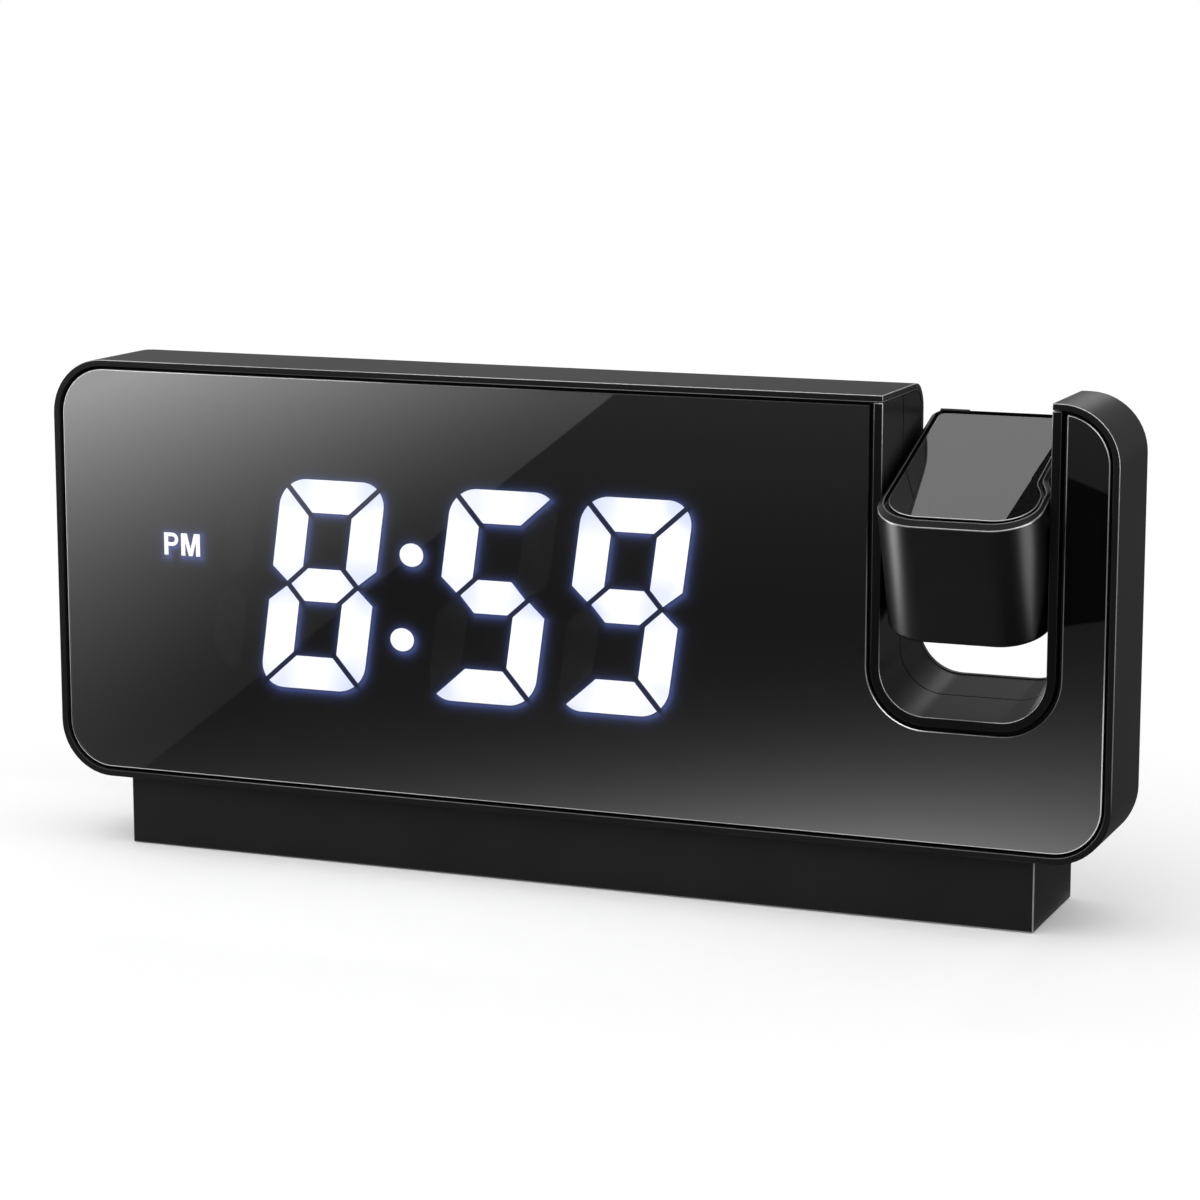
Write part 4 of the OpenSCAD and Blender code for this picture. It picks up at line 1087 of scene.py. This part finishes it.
def baseShape():
    # Outside wall and lid, and the hollow under it
    width, depth = (baseHigh - baseLow)[:2]
    wall = 2 * base["wall"]
    rings = [
        levelRing(width - wall, depth - wall, baseLow[2] + base["hollow"]),
        levelRing(width - wall, depth - wall, base["low"]),
        levelRing(width, depth, base["low"]),
        levelRing(width, depth, baseHigh[2]),
    ]
    return loft(np.stack(rings), False, True, True)


makePiece("base_shell", baseShape(), "case", "base_plastic", ["base_foot"], base["edge"], base["polish"],
          shine=shineAt("base"))
print("base built")


head = {
    "tilt": 20,
    "halfWidth": 13.15,
    "front": 18.5,
    "back": 21.1,
    "top": 10.1,
    "bottom": -11.1,
    "frontRadius": 7.5,
    "backRadius": 2.5,
    "relief": 1.8,
    "reliefFrom": -6.2,
    "reliefTo": -0.4,
    "wall": 1.6,
    "lowerRound": 0.8,
    "rebate": 0.92,
    "innerLean": 0.1,
    "leastRadius": 0.4,
    "coverSeat": 1.4,
    "coverTop": 1.35,
    "coverInset": 1.0,
    "bossRadius": 5.5,
    "bossSunk": 1.0,
    "rimHeight": 1.6,
    "chamferSide": 0.75,
    "chamferFront": 1.6,
    "chamferFall": 0.45,
    "grooveSide": 1.3,
    "grooveFront": 3.0,
    "grooveBack": 1.5,
    "grooveDrop": 1.0,
    "grooveWall": 0.08,
    "seat": 0.9,
    "land": 0.06,
    "windowDrop": 0.2,
    "windowThick": 0.75,
    "windowEdge": 0.15,
    "gap": 0.02,
    "edge": 0.16,
    "backEdge": 0.2,
    "polish": 20,
}
chamferInset = (head["chamferSide"], head["chamferFront"], head["chamferSide"])
grooveInset = (head["grooveSide"], head["grooveFront"], head["grooveBack"])


def headOutline(side, front, rear):
    # The head from above, its sides, front and back moved in; the right side steps in along an S
    w = head["halfWidth"] - side
    y0, y1 = front - head["front"], head["back"] - rear
    rf = head["frontRadius"] - side
    rb = max(head["backRadius"] - side, head["leastRadius"])
    step = np.linspace(0, 1, 12)[1:-1]
    ease = step**2 * (3 - 2 * step)
    run = head["reliefFrom"] - side + step * (head["reliefTo"] - head["reliefFrom"])
    flank = np.stack([w - head["relief"] * ease, run], 1)
    inner = w - head["relief"]
    return np.concatenate([
        arcProfile((w - rf, y0 + rf), rf, -90, 0, 20),
        flank,
        arcProfile((inner - rb, y1 - rb), rb, 0, 90, 8),
        arcProfile((rb - w, y1 - rb), rb, 90, 180, 8),
        arcProfile((rf - w, y0 + rf), rf, 180, 270, 20),
    ])


def inHead(points):
    # From the head's own frame, tilted forward about the pivot, to the clock's
    a = math.radians(head["tilt"])
    turn = np.array([[1, 0, 0], [0, math.cos(a), -math.sin(a)], [0, math.sin(a), math.cos(a)]])
    return points @ turn.T + pivot


def headRing(side, front, rear, height):
    # The head's outline, moved in, at one height
    outline = headOutline(side, front, rear)
    return np.concatenate([outline, np.full((len(outline), 1), height)], 1)


def headLoft(insets, **ends):
    # A skin over rings of the head's outline, from (side, front, rear, height) rows
    rings, faces = loft(np.stack([headRing(*inset) for inset in insets]), **ends)
    return inHead(rings), faces


def shellShape():
    # Chamfered upper edge, outer wall, rounded lower edge, rebate for the cover, and the inside
    top, low, wall, rebate = head["top"], head["bottom"], head["wall"], head["rebate"]
    seat, coverSeat = top - head["rimHeight"], low + head["coverSeat"]
    rows = [(*chamferInset, seat), (*chamferInset, top), (0, 0, 0, top - head["chamferFall"])]
    for turn in np.radians(np.linspace(0, 90, 5)):
        inset = head["lowerRound"] * (1 - math.cos(turn))
        rows.append((inset, inset, inset, low + head["lowerRound"] * (1 - math.sin(turn))))
    rows += [(rebate, rebate, rebate, low), (rebate, rebate, rebate, coverSeat)]
    rows += [(wall, wall, wall, coverSeat), (wall, wall + head["innerLean"], wall, seat)]
    return headLoft(rows, closeRings=True)


def rimShape():
    # A flat land inside the chamfer, and a groove down to the window's seat
    top, low = head["top"] - head["gap"], head["top"] - head["rimHeight"]
    start = tuple(value + head["gap"] / 2 for value in chamferInset)
    land = tuple(value + head["land"] for value in chamferInset)
    groove = tuple(value + head["grooveWall"] for value in land)
    seat = tuple(value + head["seat"] for value in grooveInset)
    floor = top - head["grooveDrop"]
    rows = [(*seat, low), (*start, low), (*start, top), (*land, top), (*groove, floor), (*seat, floor)]
    return headLoft(rows, closeRings=True)


def slabShape(inset, low, high):
    # A flat slab of the head's outline
    return headLoft([(*inset, low), (*inset, high)], capFirst=True, capLast=True)


def blockShape(low, high):
    # A block given by two corners in the head's own frame
    corners = [(x, y, z) for x in (low[0], high[0]) for y in (low[1], high[1]) for z in (low[2], high[2])]
    faces = [[0, 1, 3, 2], [4, 6, 7, 5], [0, 4, 5, 1], [2, 3, 7, 6], [0, 2, 6, 4], [1, 5, 7, 3]]
    return inHead(np.array(corners)), faces


def discShape(start, end, radius, count=48):
    # A short rod along X, in the head's own frame
    angle = np.linspace(0, 2 * math.pi, count, endpoint=False)
    circle = np.stack([np.zeros(count), radius * np.cos(angle), radius * np.sin(angle)], 1)
    rings, faces = loft(np.stack([circle + (start, 0, 0), circle + (end, 0, 0)]), False, True, True)
    return inHead(rings), faces


slot = {"low": (-5.6, 17.5, 0.4), "high": (5.6, 23.0, 6.0)}
tab = {"low": (-12.0, 20.0, 9.4), "high": (-7.0, 20.6, 10.25)}


def cutSlot(piece):
    # The opening for the focus ring, cut through the shell's back wall
    points, faces = blockShape(slot["low"], slot["high"])
    mesh = bpy.data.meshes.new("slotCutter")
    mesh.from_pydata((points * 0.001).tolist(), [], faces)
    cutter = newObject("slotCutter", mesh)
    cut = piece.modifiers.new("slot", "BOOLEAN")
    cut.operation, cut.solver, cut.object = "DIFFERENCE", "EXACT", cutter
    piece.modifiers.move(len(piece.modifiers) - 1, 0)
    for modifier in list(piece.modifiers)[1:]:
        modifier.show_viewport = False
    bpy.context.view_layer.update()
    cutMesh = bpy.data.meshes.new_from_object(piece.evaluated_get(bpy.context.evaluated_depsgraph_get()))
    piece.modifiers.remove(cut)
    for modifier in piece.modifiers:
        modifier.show_viewport = True
    piece.data = cutMesh
    bpy.data.objects.remove(cutter)


shell = makePiece("head_casing", shellShape(), "head", "head_plastic", ["head_shell"], head["edge"],
                  head["polish"], shine=shineAt("head"))
cutSlot(shell)
makePiece("head_rim", rimShape(), "head", "trim_plastic", ["head_bezel"], head["gap"], 0)
windowTop = head["top"] - head["windowDrop"]
windowShape = slabShape(grooveInset, windowTop - head["windowThick"], windowTop)
makePiece("head_glass", windowShape, "head", "window_glass", ["head_window"], head["windowEdge"])
makePiece("rim_catch", blockShape(tab["low"], tab["high"]), "head", "head_plastic", (), head["backEdge"], 0)
coverLow, coverTop = head["bottom"] + head["gap"], head["bottom"] + head["coverTop"]
coverShape = slabShape([head["coverInset"]] * 3, coverLow, coverTop)
makePiece("head_base", coverShape, "head", "head_plastic", ["head_cover"], head["backEdge"])
bossStart = head["halfWidth"] - head["relief"] - head["bossSunk"]
bossShape = discShape(bossStart, head["halfWidth"], head["bossRadius"])
makePiece("head_boss", bossShape, "head", "head_plastic", (), head["backEdge"])

ringSize = {
    "radius": 9.2,
    "bore": 6.45,
    "thick": 4.6,
    "grooves": 40,
    "deep": 0.34,
    "round": [(0.5, 0), (0.12, 0.12), (0, 0.5)],
}


def ringShape():
    # A knurled ring: its radius dips once for each groove, softly, and its edges are rounded
    turn = np.linspace(0, 2 * math.pi, ringSize["grooves"] * 10, endpoint=False)
    dip = np.clip(np.cos(turn * ringSize["grooves"]), 0, 1) ** 2 * ringSize["deep"]
    half, bore = ringSize["thick"] / 2, ringSize["bore"]
    outside = [(inset, rise - half) for inset, rise in ringSize["round"]]
    outside += [(inset, -height) for inset, height in outside[::-1]]
    rows = [(ringSize["radius"] - inset - dip, height) for inset, height in outside]
    rows += [(bore + 0 * dip, height) for height in (half, -half)]
    around = np.stack([np.cos(turn), np.sin(turn), 0 * turn], 1)
    rings = np.stack([around * radius[:, None] + (0, 0, height) for radius, height in rows])
    rings, faces = loft(rings, closeRings=True)
    axis = Vector(jointOf("focus_turn")["axis"]).normalized()
    turnTo = np.array(Vector((0, 0, 1)).rotation_difference(axis).to_matrix())
    return rings @ turnTo.T + middle("focus_ring")[0], faces


makePiece("focus_dial_ring", ringShape(), "focus_dial", "rubber", ["focus_ring"])
print("head built")


# Sections of a keycap as (inset, distance below its face), outside first, and the printed signs
keycap = {
    "profile": [(0, 0.5), (0.1, 0.2), (0.35, 0.03), (0.6, 0), (1.1, 0.1), (1.7, 0.16)],
    "signArm": 1.05,
    "signHalf": 0.22,
    "signDeep": 0.1,
    "signRise": 0.02,
}


def buttonShape(x, z, near, far):
    # A keycap with round ends, a rounded rim and a shallow dish
    rows = []
    for inset, depth in [(0, near)] + [(inset, far - fall) for inset, fall in keycap["profile"]]:
        loop = oblongLoop(x, z, back["buttonWidth"] - 2 * inset, back["buttonHeight"] - 2 * inset)
        rows.append(np.stack([loop[:, 0], np.full(len(loop), frontY + depth), loop[:, 1]], 1))
    return loft(np.stack(rows), False, True, True)


def minusLoop(arm, half):
    return np.array([(arm, half), (-arm, half), (-arm, -half), (arm, -half)])


def plusLoop(arm, half):
    # A quarter of the sign, turned by three right angles
    quarter = np.array([(half, half), (half, arm), (-half, arm)])
    turn = np.array([(0, 1), (-1, 0)])
    return np.concatenate([quarter @ np.linalg.matrix_power(turn, count) for count in range(4)])


signs = {"plus": plusLoop, "minus": minusLoop}
for key in keys:
    low, high = boxOf(key + "_button")
    place, _ = middle(key + "_plunger")
    shape = buttonShape(place[0], place[2], low[1] - frontY, high[1] - frontY)
    makePiece(key + "_cap", shape, key + "_key", "button_plastic", [key + "_button"])
for key, sign in signs.items():
    place, _ = middle(key + "_plunger")
    dish = boxOf(key + "_button")[1][1] - frontY - keycap["profile"][-1][1]
    outline = sign(keycap["signArm"], keycap["signHalf"]) + place[[0, 2]]
    shape = plate([outline], dish - keycap["signDeep"], dish + keycap["signRise"])
    makePiece(key + "_mark", shape, key + "_key", "button_plastic", material=printMaterial)
print("buttons built")

# Each piece of the frame gets its slot's finish
slots = {part["node"]: part["material_slot"] for part in frame["record"]["subparts"]}
for node, thing in frame["nodes"].items():
    thing.data.materials.clear()
    thing.data.materials.append(finish[slots[node]])


studio = {
    "floorTone": 0.9,
    "floorLift": 0.13,
    "floorReach": 4000,
    "worldLight": 0.9,
    "sunStrength": 0.4,
    "sunSpread": 60,
    "sunAim": (0.5, 0.6, -1.2),
}


def stageSheet(name, corners, material, hidden=()):
    # A flat quad in millimetres that belongs to the studio
    mesh = bpy.data.meshes.new(name)
    points = [tuple(value * 0.001 for value in corner) for corner in corners]
    mesh.from_pydata(points, [], [list(range(len(corners)))])
    thing = newObject(name, mesh)
    mesh.materials.append(material)
    for kind in hidden:
        setattr(thing, "visible_" + kind, False)


def sheetBetween(low, high):
    # Corners of a sheet from two opposite ones: the first axis that differs leads from corner 1 to 2
    along = next(axis for axis in range(3) if low[axis] != high[axis])
    second = [high[axis] if axis == along else low[axis] for axis in range(3)]
    fourth = [low[axis] if axis == along else high[axis] for axis in range(3)]
    return [low, second, high, fourth]


def lightPath(graph, *rays):
    # 1 for any of these kinds of ray
    path = graph.node("LightPath")
    total = 0
    for ray in rays:
        total = graph.maths("MAXIMUM", total, Wire(graph, path.socket.node.outputs[ray]))
    return total


def floorMaterial():
    # Matt paper, lifted to white where the camera sees it
    material, graph = newMaterial("paperFloor")
    looked = lightPath(graph, "Is Camera Ray")
    values = {
        "Base Color": neutral(studio["floorTone"]),
        "Roughness": 0.9,
        "Specular IOR Level": 0.1,
        "Emission Color": graph.blend(looked, neutral(0), neutral(studio["floorLift"])),
        "Emission Strength": 1.0,
    }
    return principled(material, graph, values)


reach = studio["floorReach"]
stageSheet("floor", sheetBetween((-reach, -reach, 0), (reach, reach, 0)), floorMaterial())

# Lines are (a, b, slope) for a line through a, b, see beside
sweepCard = {
    "reach": 3000,
    "near": -64,
    "height": 0.3,
    "limit": 2.3,
    "dark": 0.055,
    "farFrom": -260,
    "farRun": 370,
    "farRise": 0.075,
    "farCut": 0.45,
    "glow": 1.05,
    "glowX": 60,
    "glowWidth": 98,
    "glowFall": 50,
    "lightEdge": (-119.5, -122, 0.2316),
    "lightBase": 0.055,
    "lightFar": 0.23,
    "farPower": 1.3,
    "lightRise": 7e-4,
    "risePower": 1.5,
    "patchUpper": (-517.6, -43.3, 1.48),
    "patchLower": (-273.5, 19.6, -1.43),
    "patchLeft": (-49, -480, 0.14),
    "patchDark": 0.85,
}


def beside(a, b, line):
    # How far a place is past a slanted line: a - a0 - slope * (b - b0)
    start, level, slope = line
    return a - start - slope * (b - level)


def sweepMaterial():
    # What lies in front of the clock: white paper that runs into the dark, with a light on the left.
    # Radiance = dark + far rise + glow near the clock + light left of a slanted edge, less in a dark patch
    material, graph = newMaterial("sweepCard")
    x, y = (axis * 1000 for axis in graph.xyz()[1][:2])
    right = beside(x, y, sweepCard["patchLeft"]).between(-3, 3)
    far = ((sweepCard["farFrom"] - y) / sweepCard["farRun"]).clamped() * (1 - sweepCard["farCut"] * right)
    side = (x - sweepCard["glowX"]) / sweepCard["glowWidth"]
    fade = graph.maths("EXPONENT", (y - sweepCard["near"]) / sweepCard["glowFall"])
    glow = sweepCard["glow"] * fade / (1 + side * side) ** 2
    inside = 0 - beside(x, y, sweepCard["lightEdge"])
    rise = sweepCard["lightRise"] * graph.maths("MAXIMUM", inside, 0) ** sweepCard["risePower"]
    lamp = sweepCard["lightBase"] + sweepCard["lightFar"] * far ** sweepCard["farPower"] + rise
    total = sweepCard["dark"] + sweepCard["farRise"] * far + glow + lamp * inside.between(-0.5, 0.5)
    above = beside(y, x, sweepCard["patchUpper"]).between(-3, 3)
    below = 1 - beside(y, x, sweepCard["patchLower"]).between(-3, 3)
    total = total * (1 - sweepCard["patchDark"] * above * below * right)
    total = graph.maths("MINIMUM", total, sweepCard["limit"])
    graph.surface(graph.node("Emission", values={"Color": total, "Strength": 1.0}))
    return material


reach, height = sweepCard["reach"], sweepCard["height"]
sweepCorners = sheetBetween((-reach, -reach, height), (reach, sweepCard["near"], height))
stageSheet("sweepCard", sweepCorners, sweepMaterial(), ("camera", "diffuse", "shadow"))


def cardMaterial(name, strength):
    # A sheet with the same radiance all over
    material, graph = newMaterial(name)
    graph.surface(graph.node("Emission", values={"Color": neutral(1), "Strength": strength}))
    return material


# Two opposite corners, or all four, in millimetres, and radiance: lights first, then the dark flags that
# black plastic needs
cards = {
    "topBox": [(-600, -800, 480), (600, -120, 480), 9.0],
    "leftBox": [(-700, -420, 30), (-700, -40, 420), 12.0],
    "leftBackBox": [(-700, 440, 480), (-360, 700, 480), (-360, 700, 760), (-700, 440, 760), 3.0],
    "rightBackBox": [(120, 200, 780), (420, 480, 700), 6.0],
    "rightBox": [(560, -420, 5), (560, -20, 380), 8.0],
    "backBox": [(-80, 700, 270), (60, 700, 400), 3.0],
    "lowBox": [(-430, 890, 10), (-240, 890, 110), 3.0],
    "backFlag": [(-2400, 900, -5), (1600, 900, 560), 0.22],
    "floorFlag": [(-1500, 24, 0.3), (1600, 900, 0.3), 0.14],
    "windowFlag": [
        (-3.2, 255.4, 330.5), (-17.5, 175.8, 319.2), (62.5, 175.8, 319.2), (76.8, 255.4, 330.5), 0.01,
    ],
    "rightFlag": [(81.5, -64, 0.3), (400, 24, 0.3), 0.14],
}
for name, (*corners, strength) in cards.items():
    if len(corners) == 2:
        corners = sheetBetween(*corners)
    stageSheet(name, corners, cardMaterial(name, strength), ("camera", "diffuse", "shadow", "transmission"))

# Two small lamps that only the head's casing receives, for the soft streaks on its round corners
streaks = {
    "leftStreak": [(-24, -36, 24), (60, -19, 62), 40, 44, 26.0],
    "rightStreak": [(134, -14, 42), (80, -19, 60), 30, 44, 14.0],
}
receivers = bpy.data.collections.new("streakReceivers")
receivers.objects.link(shell)
for name, (place, target, width, height, radiance) in streaks.items():
    data = bpy.data.lights.new(name, "AREA")
    data.shape, data.size, data.size_y = "RECTANGLE", width * 0.001, height * 0.001
    data.energy = radiance * math.pi * width * height * 1e-6
    lamp = newObject(name, data)
    lamp.location = Vector(place) * 0.001
    aim(lamp, Vector(target) - Vector(place))
    lamp.light_linking.receiver_collection = receivers
    lamp.visible_diffuse = False

world = bpy.data.worlds.new("studio")
bpy.context.scene.world = world
world.use_nodes = True
world.cycles.sampling_method = "NONE"
sky = Graph(world.node_tree)
shade = sky.node("Background", values={"Color": neutral(1), "Strength": studio["worldLight"]})
plain = sky.node("Background", values={"Color": neutral(1), "Strength": 1.0})
seen = lightPath(sky, "Is Camera Ray", "Is Glossy Ray", "Is Transmission Ray")
mixed = sky.node("MixShader", values={0: seen, 1: shade, 2: plain})
sky.node("OutputWorld", values={"Surface": mixed})

sunData = bpy.data.lights.new("keySun", "SUN")
sunData.energy = studio["sunStrength"]
sunData.angle = math.radians(studio["sunSpread"])
aim(newObject("keySun", sunData), Vector(studio["sunAim"]))

view = {
    "place": (214.6, -533.1, 149.1),
    "yaw": 21.72,
    "pitch": 10.15,
    "lens": 104.97,
    "sensor": 36,
    "clip": 0.01,
}
yaw, pitch = math.radians(view["yaw"]), math.radians(view["pitch"])
camera = newObject("camera", bpy.data.cameras.new("camera"))
camera.location = Vector(view["place"]) * 0.001
aim(camera, Vector((-math.sin(yaw) * math.cos(pitch), math.cos(yaw) * math.cos(pitch), -math.sin(pitch))))
camera.data.lens = view["lens"]
camera.data.sensor_width = view["sensor"]
camera.data.clip_start = view["clip"]
bpy.context.scene.camera = camera
bpy.context.scene.view_settings.view_transform = "Standard"
print("stage set")
